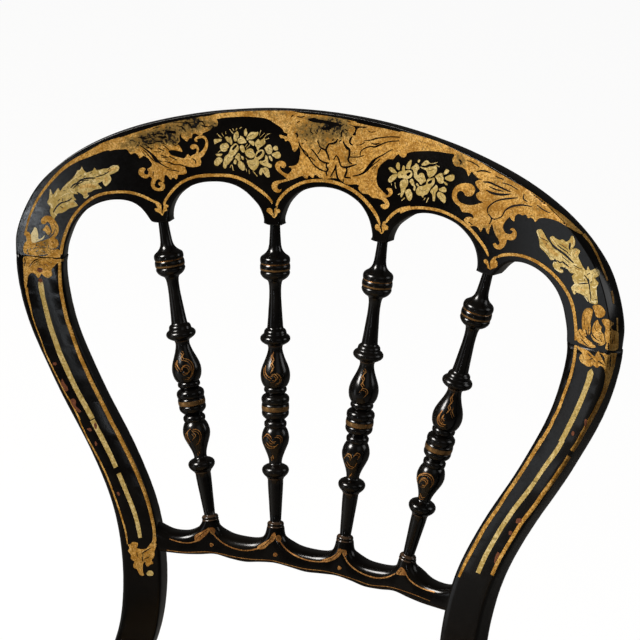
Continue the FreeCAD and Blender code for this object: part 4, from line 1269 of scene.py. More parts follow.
@dataclass(frozen=True)
class CrestLeft:
    """Left third of the crest: scrolling acanthus, a leafy sprig and the first arch line."""

    sheet: Sheet = Sheet(20.0, 100.0, 7.84)
    outer_line: tuple[Mark, ...] = (
        (38, 1060, 14), (55, 985, 14), (75, 915, 15), (104, 845, 16), (140, 775, 17), (178, 718, 18),
        (222, 660, 20),
        (270, 605, 22), (325, 550, 24), (390, 500, 28), (455, 462, 34), (520, 432, 42), (590, 398, 54),
        (650, 370, 64),
        (720, 350, 78), (790, 335, 90),
    )
    acanthus: tuple[Pair, ...] = (
        (700, 322), (760, 302), (830, 280), (900, 256), (960, 238), (1040, 213), (1120, 190), (1200, 172),
        (1280, 157), (1360, 143), (1440, 131), (1500, 122), (1568, 110), (1568, 128), (1535, 133),
        (1510, 143), (1540, 150), (1552, 175), (1545, 203), (1512, 208), (1498, 228), (1468, 246),
        (1432, 262), (1427, 284), (1404, 276), (1372, 262), (1353, 270), (1346, 296), (1328, 300),
        (1312, 324), (1290, 312), (1268, 290), (1258, 265), (1250, 292), (1254, 320), (1238, 342),
        (1258, 368), (1272, 405), (1238, 398), (1200, 392), (1164, 398), (1180, 425), (1210, 440),
        (1250, 450), (1290, 455), (1318, 424), (1336, 442), (1352, 432), (1378, 418), (1386, 392),
        (1380, 378), (1362, 386), (1344, 382), (1334, 368), (1346, 350), (1372, 346), (1394, 360),
        (1404, 386), (1400, 412), (1424, 400), (1446, 368), (1455, 338), (1450, 312), (1430, 298),
        (1404, 302), (1388, 312), (1392, 326), (1374, 324), (1368, 304), (1386, 286), (1420, 278),
        (1452, 286), (1472, 316), (1475, 352), (1462, 396), (1436, 440), (1416, 456), (1422, 490),
        (1414, 512), (1388, 523), (1350, 526), (1318, 522), (1292, 514), (1300, 540), (1308, 568),
        (1282, 584), (1240, 586), (1236, 606), (1226, 622), (1204, 606), (1190, 614), (1178, 622),
        (1162, 600), (1142, 586), (1132, 602), (1128, 646), (1110, 636), (1090, 620), (1074, 626),
        (1060, 650), (1056, 670), (1070, 686), (1094, 690), (1104, 676), (1086, 664), (1086, 650),
        (1106, 640), (1130, 656), (1136, 686), (1120, 708), (1086, 713), (1050, 702), (1030, 676),
        (1028, 646), (1036, 616), (1018, 600), (990, 613), (960, 606), (934, 582), (929, 556), (944, 536),
        (970, 530), (986, 545), (974, 556), (976, 576), (1000, 584), (1008, 566), (1000, 540), (1022, 528),
        (1036, 504), (1022, 480), (1012, 462), (990, 446), (968, 438), (938, 456), (924, 430), (900, 414),
        (870, 424), (856, 410), (840, 388), (800, 386), (740, 390), (700, 396),
    )
    worn_hole: tuple[Pair, ...] = (
        (1150, 243), (1185, 238), (1222, 250), (1225, 262), (1195, 262), (1160, 258),
    )
    veins: tuple[tuple[Mark, ...], ...] = (
        ((1000, 345, 4), (1060, 335, 4)), ((1080, 290, 4), (1140, 300, 4)), ((1060, 265, 4), (1110, 262, 4)),
        ((1120, 350, 4), (1170, 390, 4)), ((990, 370, 4), (1040, 380, 4)), ((1080, 375, 4), (1130, 400, 4)),
        ((1100, 430, 4), (1150, 445, 4)), ((1140, 480, 4), (1200, 500, 4)), ((1170, 440, 4), (1230, 470, 4)),
        ((1290, 165, 3), (1330, 190, 5), (1350, 225, 4)), ((1230, 200, 3), (1275, 215, 5), (1300, 250, 4)),
        ((1400, 160, 3), (1440, 180, 5), (1450, 215, 4)), ((930, 290, 3), (985, 300, 5), (1030, 290, 3)),
        ((1350, 455, 3), (1375, 475, 5), (1380, 500, 3)), ((1150, 545, 3), (1200, 550, 5), (1250, 560, 3)),
    )
    sprig: tuple[Pair, ...] = (
        (740, 515), (768, 512), (778, 532), (770, 552), (735, 575), (705, 588), (715, 610), (712, 635),
        (692, 660), (672, 676), (652, 655), (645, 632), (640, 640), (612, 655), (640, 690), (615, 696),
        (580, 704), (560, 718), (530, 728), (532, 752), (508, 772), (492, 745), (470, 728), (440, 718),
        (455, 735), (420, 738), (425, 760), (440, 782), (418, 790), (455, 825), (425, 838), (385, 850),
        (355, 872), (325, 885), (300, 888), (285, 905), (268, 930), (245, 905), (235, 870), (240, 840),
        (215, 805), (228, 770), (232, 730), (240, 700), (258, 740), (280, 715), (300, 690), (315, 712),
        (340, 680), (375, 645), (400, 625), (430, 590), (440, 575), (455, 548), (472, 552), (484, 522),
        (498, 545), (520, 568), (548, 562), (572, 552), (585, 530), (600, 548), (622, 548), (650, 540),
        (690, 535), (715, 525),
    )
    leaf_sheet: Sheet = Sheet(130.0, 104.0, 14.0, vein=1.7)
    leaf_veins: tuple[tuple[Mark, ...], ...] = (
        ((140, 575, 6), (200, 620, 10), (260, 665, 15), (310, 710, 20), (350, 760, 30), (385, 795, 22),
         (440, 842, 11),
         (520, 885, 8), (590, 905, 5)),
        ((180, 635, 6), (230, 680, 9), (280, 740, 9), (330, 790, 8), (400, 826, 7)), ((160, 650, 5),
         (200, 700, 7), (230, 735, 5)),
        ((200, 560, 6), (260, 600, 7), (310, 645, 7)), ((330, 662, 5), (400, 672, 9), (440, 660, 5)),
        ((430, 740, 5), (480, 750, 8), (540, 745, 5)), ((470, 620, 8), (484, 632, 6)), ((385, 640, 5),
         (400, 655, 6)),
        ((540, 812, 8), (590, 835, 12), (640, 850, 9), (700, 848, 10), (750, 865, 10), (790, 885, 5)),
        ((110, 465, 6), (160, 468, 12), (205, 480, 7)), ((290, 430, 6), (330, 425, 12), (372, 432, 7)),
        ((410, 450, 6), (455, 466, 20), (500, 460, 12), (515, 480, 6)), ((350, 532, 8), (400, 520, 10),
         (440, 522, 6)),
        ((440, 545, 6), (480, 558, 9), (505, 575, 6)), ((320, 340, 6), (370, 330, 9), (430, 315, 5)),
        ((600, 258, 4), (700, 255, 6), (800, 262, 6), (870, 255, 7)), ((890, 330, 9), (935, 330, 6)),
        ((930, 275, 6), (990, 242, 9), (1040, 240, 6)), ((1000, 300, 11), (1060, 312, 12), (1100, 320, 7),
         (1145, 298, 8)),
        ((330, 945, 8), (320, 1005, 8)), ((390, 790, 8), (430, 800, 10), (460, 815, 6)), ((500, 780, 5),
         (532, 786, 8)),
        ((250, 545, 6), (290, 560, 8), (312, 546, 5)), ((600, 560, 6), (640, 580, 9), (680, 560, 5)),
        ((700, 440, 5), (722, 480, 8)), ((380, 380, 5), (400, 390, 7)), ((480, 420, 5), (500, 404, 6)),
    )
    close: Sheet = Sheet(36.0, 158.0, 16.0, vein=1.9)
    sprig_veins: tuple[tuple[Mark, ...], ...] = (
        ((278, 872, 9), (310, 810, 13), (350, 760, 14), (400, 718, 13), (470, 700, 11), (540, 670, 11),
         (572, 640, 8)),
        ((350, 692, 7), (382, 660, 8)), ((590, 492, 8), (640, 440, 9), (700, 402, 9), (760, 380, 7)),
        ((556, 482, 9), (600, 430, 14), (660, 400, 14), (720, 352, 16), (800, 326, 16), (870, 320, 14),
         (955, 320, 8)),
        ((730, 370, 7), (800, 356, 8), (850, 350, 7)), ((960, 300, 7), (1040, 280, 10), (1100, 260, 9),
         (1172, 214, 8)),
        ((756, 312, 6), (792, 294, 7)), ((430, 640, 6), (425, 690, 7)), ((1090, 240, 7), (1140, 236, 7)),
        ((700, 300, 5), (730, 270, 6)), ((860, 250, 5), (900, 225, 6)), ((1190, 160, 7), (1160, 190, 6)),
        ((390, 770, 6), (430, 800, 7)), ((430, 530, 5), (470, 510, 6)), ((660, 430, 6), (700, 450, 5)),
    )
    # cream strokes on the sprig: partly its lighter powder, partly painted highlight
    sprig_painted_highlights: tuple[tuple[Mark, ...], ...] = (
        ((742, 152, 8), (700, 200, 11), (652, 240, 12), (632, 285, 8)), ((770, 250, 22), (802, 266, 22)),
        ((896, 352, 18), (936, 380, 18)), ((1018, 205, 24), (1034, 252, 24)), ((226, 500, 9), (236, 560, 15),
         (252, 615, 14)),
        ((190, 720, 18), (240, 742, 26), (262, 800, 20)), ((342, 498, 8), (332, 560, 12), (300, 622, 12)),
        ((540, 490, 10), (562, 530, 14), (604, 552, 12)), ((432, 482, 8), (500, 420, 10), (560, 370, 10),
         (640, 300, 8)),
        ((298, 872, 14), (332, 922, 16)), ((478, 742, 12), (522, 720, 12)), ((652, 730, 7), (600, 684, 8),
         (542, 690, 7)),
        ((400, 622, 8), (460, 582, 10), (542, 560, 8)), ((1180, 150, 7), (1250, 118, 9), (1320, 140, 8)),
        ((1100, 430, 7), (1140, 420, 8), (1180, 350, 7)), ((760, 630, 7), (800, 640, 8), (850, 590, 7)),
    )
    sprig_gold: tuple[tuple[Mark, ...], ...] = (
        ((690, 480, 40), (780, 450, 60), (880, 440, 60), (960, 470, 30)), ((790, 520, 40), (800, 590, 30)),
        ((1120, 300, 40), (1130, 380, 50)), ((1150, 210, 30), (1230, 180, 40), (1290, 160, 30)),
        ((540, 740, 30), (610, 730, 40)), ((960, 340, 30), (1020, 320, 30)), ((420, 820, 30), (470, 790, 30)),
    )
    shell_body: tuple[Pair, ...] = (
        (330, 255), (325, 210), (350, 172), (395, 150), (450, 155), (500, 190), (535, 240), (562, 290),
        (570, 340), (560, 400), (530, 440), (515, 465), (545, 480), (560, 510), (570, 555), (550, 585),
        (530, 605), (575, 625), (592, 645), (592, 725), (540, 738), (420, 738), (300, 728), (210, 712),
        (130, 690), (84, 665), (75, 600), (90, 540), (120, 500), (115, 440), (100, 400), (120, 370),
        (150, 375), (170, 400), (185, 440), (195, 500), (240, 528), (300, 508), (360, 482), (420, 450),
        (468, 400), (474, 350), (458, 290), (430, 240), (402, 232), (390, 258), (360, 266),
    )
    shell_inner: tuple[Pair, ...] = (
        (345, 345), (370, 320), (395, 280), (415, 290), (440, 320), (458, 370), (448, 400), (420, 420),
        (400, 395), (380, 370),
    )
    shell_rose: tuple[Pair, ...] = (
        (150, 590), (190, 555), (260, 535), (350, 505), (430, 495), (448, 530), (440, 600), (420, 660),
        (360, 688), (280, 690), (220, 698), (180, 690), (152, 650),
    )
    # painted highlight: a cream patch where the window's reflection lies on the left shell
    shell_painted_highlight: tuple[Pair, ...] = (
        (185, 400), (215, 350), (232, 312), (260, 322), (275, 370), (285, 420), (282, 465), (300, 480),
        (340, 455), (375, 420), (366, 452), (330, 490), (260, 518), (205, 528), (186, 480),
    )
    shell_sheet: Sheet = Sheet(18.0, 205.0, 14.0, vein=1.8)
    shell_lines: tuple[tuple[Mark, ...], ...] = (
        ((270, 516, 6), (330, 496, 10), (400, 470, 13), (460, 438, 12), (500, 390, 8), (522, 330, 4)),
        ((255, 556, 12), (272, 562, 10)), ((290, 700, 10), (350, 706, 14), (420, 694, 8)),
        ((140, 615, 6), (128, 650, 9), (150, 688, 7)), ((104, 460, 10), (118, 505, 6)), ((445, 612, 5),
         (500, 616, 8), (545, 612, 8)),
        ((365, 528, 8), (384, 524, 8)), ((210, 616, 5), (250, 596, 7), (290, 602, 5)), ((240, 656, 5),
         (280, 636, 7)),
        ((330, 566, 5), (370, 596, 7), (400, 590, 5)), ((330, 636, 5), (380, 656, 7)), ((420, 556, 5),
         (436, 596, 6)),
        ((300, 566, 5), (320, 606, 5)), ((380, 540, 5), (400, 566, 5)), ((170, 600, 5), (176, 640, 6)),
        ((470, 500, 4), (500, 530, 5)), ((260, 672, 4), (330, 672, 6), (400, 668, 4)), ((500, 250, 4),
         (525, 300, 5)),
    )
    first_line: tuple[Mark, ...] = (
        (320, 1208, 25), (335, 1120, 24), (355, 1050, 23), (385, 975, 22), (425, 905, 21), (475, 845, 21),
        (530, 795, 21), (590, 757, 21), (660, 733, 21), (740, 722, 21), (820, 720, 21), (890, 730, 21),
        (960, 752, 21),
        (1020, 780, 20), (1062, 800, 16),
    )
    first_drop: tuple[Pair, ...] = (
        (1062, 792), (1085, 800), (1108, 822), (1112, 862), (1118, 870), (1125, 850), (1130, 825),
        (1145, 818), (1165, 830), (1150, 850), (1155, 865), (1135, 875), (1118, 905), (1100, 890),
        (1085, 880), (1062, 868), (1058, 850), (1080, 845), (1068, 825),
    )
    second_line: tuple[Mark, ...] = (
        (1130, 825, 16), (1140, 790, 20), (1165, 750, 21), (1200, 705, 21), (1245, 662, 21), (1300, 628, 21),
        (1370, 603, 21), (1425, 592, 21), (1500, 586, 21),
    )

    def shapes(self) -> list[Shape]:
        """All shapes of this part."""
        s = self.sheet
        gold = s.strokes(Paint.BRONZE, self.outer_line, self.first_line, self.second_line)
        gold += s.patch(Paint.BRONZE, self.acanthus) + s.patch(Paint.BRONZE, self.first_drop)
        gold += self.shell_sheet.patch(Paint.BRONZE, self.shell_body)
        gold += self.shell_sheet.patch(Paint.BRONZE, self.shell_inner)
        gold += s.patch(Paint.BLACK, self.worn_hole) + s.strokes(Paint.BLACK, *self.veins)
        gold += s.patch(Paint.PALE, self.sprig) + self.shell_sheet.patch(Paint.RICH, self.shell_rose)
        # the shell's painted highlight, in cream
        gold += self.shell_sheet.patch(Paint.CREAM_HIGHLIGHT, self.shell_painted_highlight)
        gold += self.leaf_sheet.strokes(Paint.BLACK, *self.leaf_veins)
        gold += self.shell_sheet.strokes(Paint.BLACK, *self.shell_lines)
        # the cream strokes are partly painted highlight
        gold += (
            self.close.strokes(Paint.CREAM_HIGHLIGHT, *self.sprig_painted_highlights)
            + self.close.strokes(Paint.RICH, *self.sprig_gold)
        )
        gold += self.close.strokes(Paint.BLACK, *self.sprig_veins)
        return gold + s.strokes(Paint.BLACK, ((1112, 830, 4), (1116, 890, 4)))


@dataclass(frozen=True)
class CrestMiddle:
    """Middle third of the crest: a spray in a black field and the great acanthus."""

    sheet: Sheet = Sheet(200.0, 90.0, 7.127)
    second_line: tuple[Mark, ...] = (
        (0, 613, 22), (60, 608, 22), (142, 607, 22), (220, 612, 22), (290, 632, 22), (350, 662, 22),
        (410, 702, 22), (465, 745, 20), (500, 780, 16), (520, 812, 10),
    )
    border: tuple[Pair, ...] = (
        (-10, 196), (60, 186), (120, 170), (200, 161), (300, 153), (440, 148), (560, 147), (660, 150),
        (700, 160), (760, 170), (830, 176), (900, 184), (980, 198), (1060, 214), (1120, 232), (1100, 250),
        (1040, 250), (960, 262), (900, 300), (880, 340), (800, 340), (720, 350), (700, 410), (690, 425),
        (675, 440), (660, 425), (655, 400), (640, 370), (625, 360), (610, 365), (600, 345), (575, 340),
        (565, 320), (590, 322), (620, 330), (625, 312), (600, 300), (590, 280), (560, 255), (530, 235),
        (500, 215), (460, 200), (400, 193), (330, 189), (260, 191), (180, 196), (120, 206), (60, 214),
        (-10, 222),
    )
    acanthus: tuple[Pair, ...] = (
        (720, 350), (800, 330), (900, 290), (960, 260), (1040, 235), (1100, 232), (1200, 252), (1300, 272),
        (1400, 294), (1500, 320), (1575, 342), (1575, 415), (1500, 440), (1470, 450), (1455, 482),
        (1438, 472), (1424, 455), (1400, 468), (1378, 492), (1345, 492), (1318, 508), (1290, 532),
        (1270, 562), (1262, 600), (1258, 640), (1268, 680), (1290, 708), (1318, 736), (1334, 750),
        (1346, 738), (1340, 716), (1328, 706), (1346, 697), (1366, 705), (1374, 726), (1368, 746),
        (1346, 762), (1326, 766), (1342, 790), (1351, 815), (1340, 840), (1315, 849), (1295, 836),
        (1287, 820), (1305, 813), (1320, 812), (1312, 796), (1290, 780), (1260, 771), (1230, 766),
        (1205, 746), (1185, 740), (1162, 736), (1140, 720), (1128, 696), (1136, 682), (1112, 672),
        (1062, 673), (1035, 666), (1015, 650), (990, 636), (950, 627), (900, 633), (858, 625), (820, 604),
        (806, 626), (795, 622), (776, 608), (766, 630), (748, 626), (728, 612), (690, 626), (650, 640),
        (610, 652), (575, 662), (552, 680), (553, 700), (570, 712), (580, 704), (576, 724), (556, 731),
        (530, 722), (514, 700), (512, 676), (526, 655), (556, 645), (592, 640), (618, 630), (596, 612),
        (568, 590), (545, 566), (536, 540), (548, 515), (576, 504), (602, 512), (615, 534), (602, 554),
        (584, 552), (575, 540), (570, 552), (580, 572), (600, 588), (628, 598), (642, 588), (655, 562),
        (634, 545), (662, 541), (690, 530), (706, 505), (713, 470), (716, 430), (708, 395),
    )
    close: Sheet = Sheet(290.0, 110.0, 14.0, vein=1.9)
    worn_hole: tuple[Pair, ...] = (
        (250, 125), (300, 112), (345, 108), (400, 128), (450, 135), (520, 150), (600, 165), (680, 185),
        (730, 215), (700, 232), (640, 220), (590, 245), (560, 275), (500, 280), (440, 262), (470, 245),
        (530, 232), (545, 212), (500, 188), (430, 185), (370, 178), (310, 165), (270, 150),
    )
    worn_notch: tuple[Pair, ...] = (
        (825, 195), (880, 215), (940, 222), (1020, 230), (1100, 238), (1040, 250), (975, 250), (945, 268),
        (928, 310),
        (925, 348), (900, 358), (878, 348), (900, 312), (915, 262), (890, 232), (850, 215),
    )
    veins: tuple[tuple[Mark, ...], ...] = (
        ((872, 372, 10), (848, 408, 15), (840, 448, 15), (858, 480, 12), (884, 496, 8)),
        ((738, 285, 8), (720, 330, 12), (726, 376, 10)), ((722, 420, 12), (690, 440, 10)),
        ((538, 472, 10), (610, 468, 16), (650, 442, 15), (672, 405, 8)), ((594, 432, 8), (612, 400, 10)),
        ((545, 475, 12), (520, 520, 15), (504, 560, 16), (522, 605, 15), (540, 650, 12), (552, 705, 10)),
        ((385, 425, 8), (404, 470, 9), (420, 515, 10), (465, 545, 14), (505, 568, 12)),
        ((432, 540, 8), (410, 590, 9), (385, 612, 8)),
        ((300, 545, 8), (340, 590, 10), (380, 640, 10), (410, 690, 11), (450, 718, 12), (495, 738, 14),
         (552, 745, 10)),
        ((512, 750, 10), (514, 800, 14), (534, 830, 16), (508, 868, 14), (520, 922, 10)),
        ((170, 550, 8), (210, 610, 10), (260, 660, 10), (300, 720, 10), (350, 780, 10), (400, 818, 11),
         (450, 845, 11),
         (505, 862, 9)),
        ((258, 672, 7), (290, 660, 8), (322, 690, 8), (352, 716, 6)),
        ((285, 700, 6), (310, 735, 7), (330, 760, 5)),
        ((565, 935, 8), (600, 880, 11), (634, 812, 11), (645, 768, 8)),
        ((648, 770, 9), (645, 830, 12), (655, 900, 13), (672, 960, 14), (722, 1005, 10)),
        ((610, 700, 8), (650, 640, 12), (682, 682, 12), (700, 740, 11), (722, 790, 13), (800, 800, 15),
         (870, 780, 13),
         (935, 758, 8)),
        ((790, 805, 12), (796, 850, 14), (782, 900, 16), (768, 935, 16), (855, 952, 8)),
        ((745, 435, 9), (770, 490, 14), (800, 530, 22), (832, 552, 18), (834, 600, 14), (830, 650, 14),
         (815, 690, 14),
         (832, 730, 12), (872, 756, 9)),
        ((836, 655, 9), (900, 660, 8), (970, 655, 8), (1042, 634, 6)),
        ((992, 640, 6), (985, 600, 8), (1010, 560, 8), (1060, 530, 9), (1130, 510, 9), (1190, 516, 14),
         (1250, 492, 14),
         (1300, 470, 10), (1380, 445, 9), (1530, 430, 8)),
        ((1140, 462, 6), (1195, 478, 12), (1260, 462, 7)), ((920, 492, 5), (1000, 482, 7), (1050, 448, 7)),
        ((1040, 430, 6), (1120, 425, 8), (1200, 400, 11), (1290, 385, 9), (1400, 375, 9), (1540, 380, 8)),
        ((880, 925, 8), (960, 910, 12), (1030, 880, 15), (1080, 830, 24), (1120, 780, 26), (1165, 718, 22),
         (1225, 668, 12), (1300, 630, 10), (1380, 580, 8), (1440, 552, 7)),
        ((1052, 862, 6), (1130, 800, 7), (1200, 740, 8), (1265, 688, 7)), ((970, 842, 5), (1020, 816, 6)),
        ((1150, 830, 5), (1200, 780, 6)), ((1180, 830, 5), (1225, 770, 5)), ((768, 268, 10), (812, 296, 9)),
        ((78, 320, 12), (110, 352, 14), (98, 385, 9)), ((122, 440, 9), (152, 520, 10), (232, 602, 8),
         (262, 645, 7)),
        ((190, 400, 6), (240, 430, 7)), ((160, 470, 6), (200, 460, 7)), ((745, 960, 8), (752, 1012, 7)),
        ((100, 90, 8), (160, 100, 10), (210, 84, 7)), ((50, 70, 9), (20, 92, 10)),
        ((800, 150, 8), (850, 168, 8)), ((100, 180, 7), (140, 150, 8)),
        ((1090, 290, 5), (1140, 310, 6), (1200, 300, 5)), ((300, 250, 6), (290, 300, 7), (330, 340, 6)),
        ((350, 300, 5), (380, 340, 6)),
    )
    middle_drop: tuple[Pair, ...] = (
        (480, 845), (500, 840), (515, 855), (520, 875), (530, 850), (545, 835), (555, 830), (550, 848),
        (568, 850), (572, 868), (555, 878), (548, 895), (528, 912), (512, 895), (495, 880), (476, 862),
    )
    third_line: tuple[Mark, ...] = (
        (545, 828, 14), (560, 790, 20), (590, 750, 22), (635, 710, 22), (690, 678, 22), (750, 655, 22),
        (830, 645, 22),
        (910, 648, 24), (990, 668, 24), (1060, 698, 24), (1120, 735, 24), (1175, 785, 24), (1220, 838, 24),
        (1255, 890, 22), (1275, 935, 16), (1285, 965, 10),
    )
    third_drop: tuple[Pair, ...] = (
        (1248, 968), (1262, 955), (1278, 965), (1288, 990), (1300, 955), (1312, 935), (1325, 940),
        (1322, 958), (1342, 972), (1338, 995), (1318, 1000), (1305, 1020), (1292, 1025), (1275, 1005),
        (1252, 992),
    )
    fourth_line: tuple[Mark, ...] = (
        (1325, 945, 12), (1345, 915, 20), (1380, 880, 22), (1430, 850, 22), (1500, 835, 22),
    )
    slits: tuple[tuple[Mark, ...], ...] = (
        ((520, 800, 5), (525, 850, 5), (530, 900, 4)), ((1290, 930, 5), (1292, 975, 5), (1296, 1015, 4)),
    )
    spray_sheet: Sheet = Sheet(210.0, 124.0, 16.0, vein=1.1)
    spray: tuple[tuple[Pair, ...], ...] = (
        ((65, 245), (110, 240), (185, 240), (185, 268), (140, 290), (75, 320), (68, 290)),
        ((240, 215), (262, 200), (292, 202), (305, 222), (330, 205), (345, 240), (360, 300), (340, 335),
         (315, 300), (275, 280), (255, 245)),
        ((400, 140), (440, 115), (462, 165), (455, 210), (430, 240), (425, 275), (395, 275), (378, 215),
         (385, 165)),
        ((485, 190), (520, 200), (545, 225), (570, 260), (585, 290), (540, 310), (500, 315), (455, 305),
         (440, 265), (450, 235), (480, 220)),
        ((575, 70), (592, 110), (598, 150), (580, 195), (560, 190), (545, 130)),
        ((585, 240), (600, 190), (640, 140), (690, 125), (740, 130), (772, 125), (770, 165), (745, 200),
         (710, 230), (660, 245), (620, 245), (600, 260)),
        ((620, 265), (660, 265), (705, 280), (712, 320), (700, 350), (665, 330), (625, 290)),
        ((165, 345), (195, 315), (235, 310), (265, 300), (300, 340), (305, 370), (280, 390), (275, 420),
         (235, 440), (190, 430), (165, 395)),
        ((400, 310), (440, 325), (460, 370), (455, 420), (420, 465), (395, 500), (370, 510), (375, 545),
         (340, 590), (300, 640), (270, 660), (260, 700), (240, 712), (215, 690), (212, 640), (225, 580),
         (240, 520), (290, 480), (310, 440), (330, 380), (365, 335)),
        ((480, 360), (510, 335), (540, 355), (555, 395), (560, 440), (535, 455), (500, 430), (482, 400)),
        ((560, 450), (590, 410), (650, 390), (690, 410), (705, 455), (722, 480), (712, 520), (670, 545),
         (620, 535), (580, 500)),
        ((720, 300), (745, 265), (775, 240), (800, 265), (840, 240), (870, 225), (885, 265), (885, 310),
         (850, 340), (810, 370), (780, 400), (775, 425), (755, 410), (740, 365), (720, 335)),
        ((875, 385), (900, 360), (935, 325), (970, 335), (995, 375), (1000, 430), (975, 480), (930, 480),
         (895, 440),
         (885, 405)),
        ((1010, 380), (1040, 350), (1070, 350), (1090, 385), (1085, 415), (1030, 420)),
        ((990, 480), (1050, 450), (1090, 440), (1130, 475), (1135, 520), (1110, 545), (1060, 550),
         (1030, 525), (995, 505)),
        ((735, 470), (760, 430), (810, 410), (850, 415), (870, 460), (860, 510), (820, 550), (780, 575),
         (790, 620), (770, 680), (740, 720), (700, 745), (660, 720), (620, 680), (605, 640), (595, 580),
         (640, 575), (690, 570), (715, 540)),
        ((885, 500), (920, 520), (930, 570), (940, 620), (990, 650), (985, 690), (950, 700), (910, 680),
         (870, 670), (830, 650), (800, 625), (795, 592), (840, 590), (880, 570)),
        ((940, 510), (970, 510), (1000, 560), (995, 595), (970, 580), (945, 540)),
        ((800, 730), (820, 705), (850, 705), (885, 690), (925, 710), (945, 750), (955, 800), (960, 840),
         (930, 855), (900, 840), (860, 790), (840, 770), (830, 810), (805, 815), (790, 780)),
        ((450, 620), (480, 585), (510, 600), (550, 650), (562, 700), (540, 745), (510, 735), (470, 700),
         (445, 660)),
        ((400, 530), (430, 490), (460, 465), (490, 500), (480, 530), (485, 570), (455, 600), (435, 560),
         (400, 545)),
        ((500, 510), (530, 520), (545, 560), (525, 575), (505, 550)),
        ((380, 600), (410, 565), (430, 590), (415, 640), (390, 640)),
        ((70, 600), (100, 555), (140, 530), (190, 550), (200, 590), (170, 630), (120, 670), (75, 650)),
        ((90, 485), (140, 475), (200, 480), (180, 510), (150, 515), (110, 510)),
    )
    spray_eyes: tuple[tuple[Pair, ...], ...] = (
        ((350, 405), (380, 360), (425, 328), (432, 352), (400, 395), (370, 422)),
        ((738, 522), (765, 470), (800, 440), (836, 433), (832, 470), (790, 512), (760, 532)),
    )
    spray_hairs: tuple[tuple[Mark, ...], ...] = (
        ((115, 150, 8), (150, 190, 14), (190, 220, 10)), ((190, 150, 8), (220, 195, 12)), ((250, 115, 9),
         (255, 160, 10)),
        ((315, 80, 8), (345, 120, 14), (375, 155, 10)), ((365, 70, 9), (385, 105, 9)), ((415, 100, 12),
         (432, 65, 15)),
        ((475, 75, 10), (505, 50, 12)), ((790, 185, 8), (815, 100, 9)), ((800, 215, 6), (880, 140, 8)),
        ((860, 240, 6), (900, 180, 9), (970, 145, 6)), ((885, 250, 8), (945, 225, 11)), ((565, 365, 10),
         (600, 315, 10)),
        ((585, 390, 8), (640, 330, 9)), ((320, 700, 10), (345, 650, 13)), ((355, 655, 12), (375, 745, 17)),
        ((575, 710, 8), (590, 760, 9)), ((625, 730, 9), (635, 800, 11)), ((690, 755, 9), (730, 800, 12),
         (760, 840, 9)),
        ((130, 460, 8), (160, 430, 9), (190, 425, 8)), ((575, 545, 10), (600, 575, 9)),
    )
    spray_folds: tuple[tuple[Mark, ...], ...] = (
        ((330, 392, 6), (300, 400, 7), (280, 398, 5)), ((600, 215, 5), (650, 180, 6), (700, 165, 5)),
        ((470, 250, 5), (510, 250, 6)), ((600, 470, 5), (640, 450, 6), (680, 470, 5)), ((270, 560, 5),
         (300, 530, 6)),
        ((640, 640, 5), (680, 660, 6), (720, 640, 5)), ((900, 600, 6), (850, 620, 6)), ((760, 330, 5),
         (800, 320, 6)),
        ((860, 720, 6), (890, 770, 6)), ((930, 380, 5), (950, 420, 6)), ((380, 520, 5), (345, 545, 6)),
    )

    def shapes(self) -> list[Shape]:
        """All shapes of this part."""
        s = self.sheet
        gold = s.strokes(Paint.BRONZE, self.second_line, self.third_line, self.fourth_line)
        for outline in (self.border, self.acanthus, self.middle_drop, self.third_drop):
            gold += s.patch(Paint.BRONZE, outline)
        gold += self.close.patch(Paint.BLACK, self.worn_hole) + self.close.patch(Paint.BLACK, self.worn_notch)
        gold += self.close.strokes(Paint.BLACK, *self.veins) + s.strokes(Paint.BLACK, *self.slits)
        for outline in self.spray:
            gold += self.spray_sheet.patch(Paint.PALE, outline)
        for outline in self.spray_eyes:
            gold += self.spray_sheet.patch(Paint.BLACK, outline)
        gold += self.spray_sheet.strokes(Paint.BLACK, *self.spray_folds)
        return gold + self.spray_sheet.strokes(Paint.PALE, *self.spray_hairs)


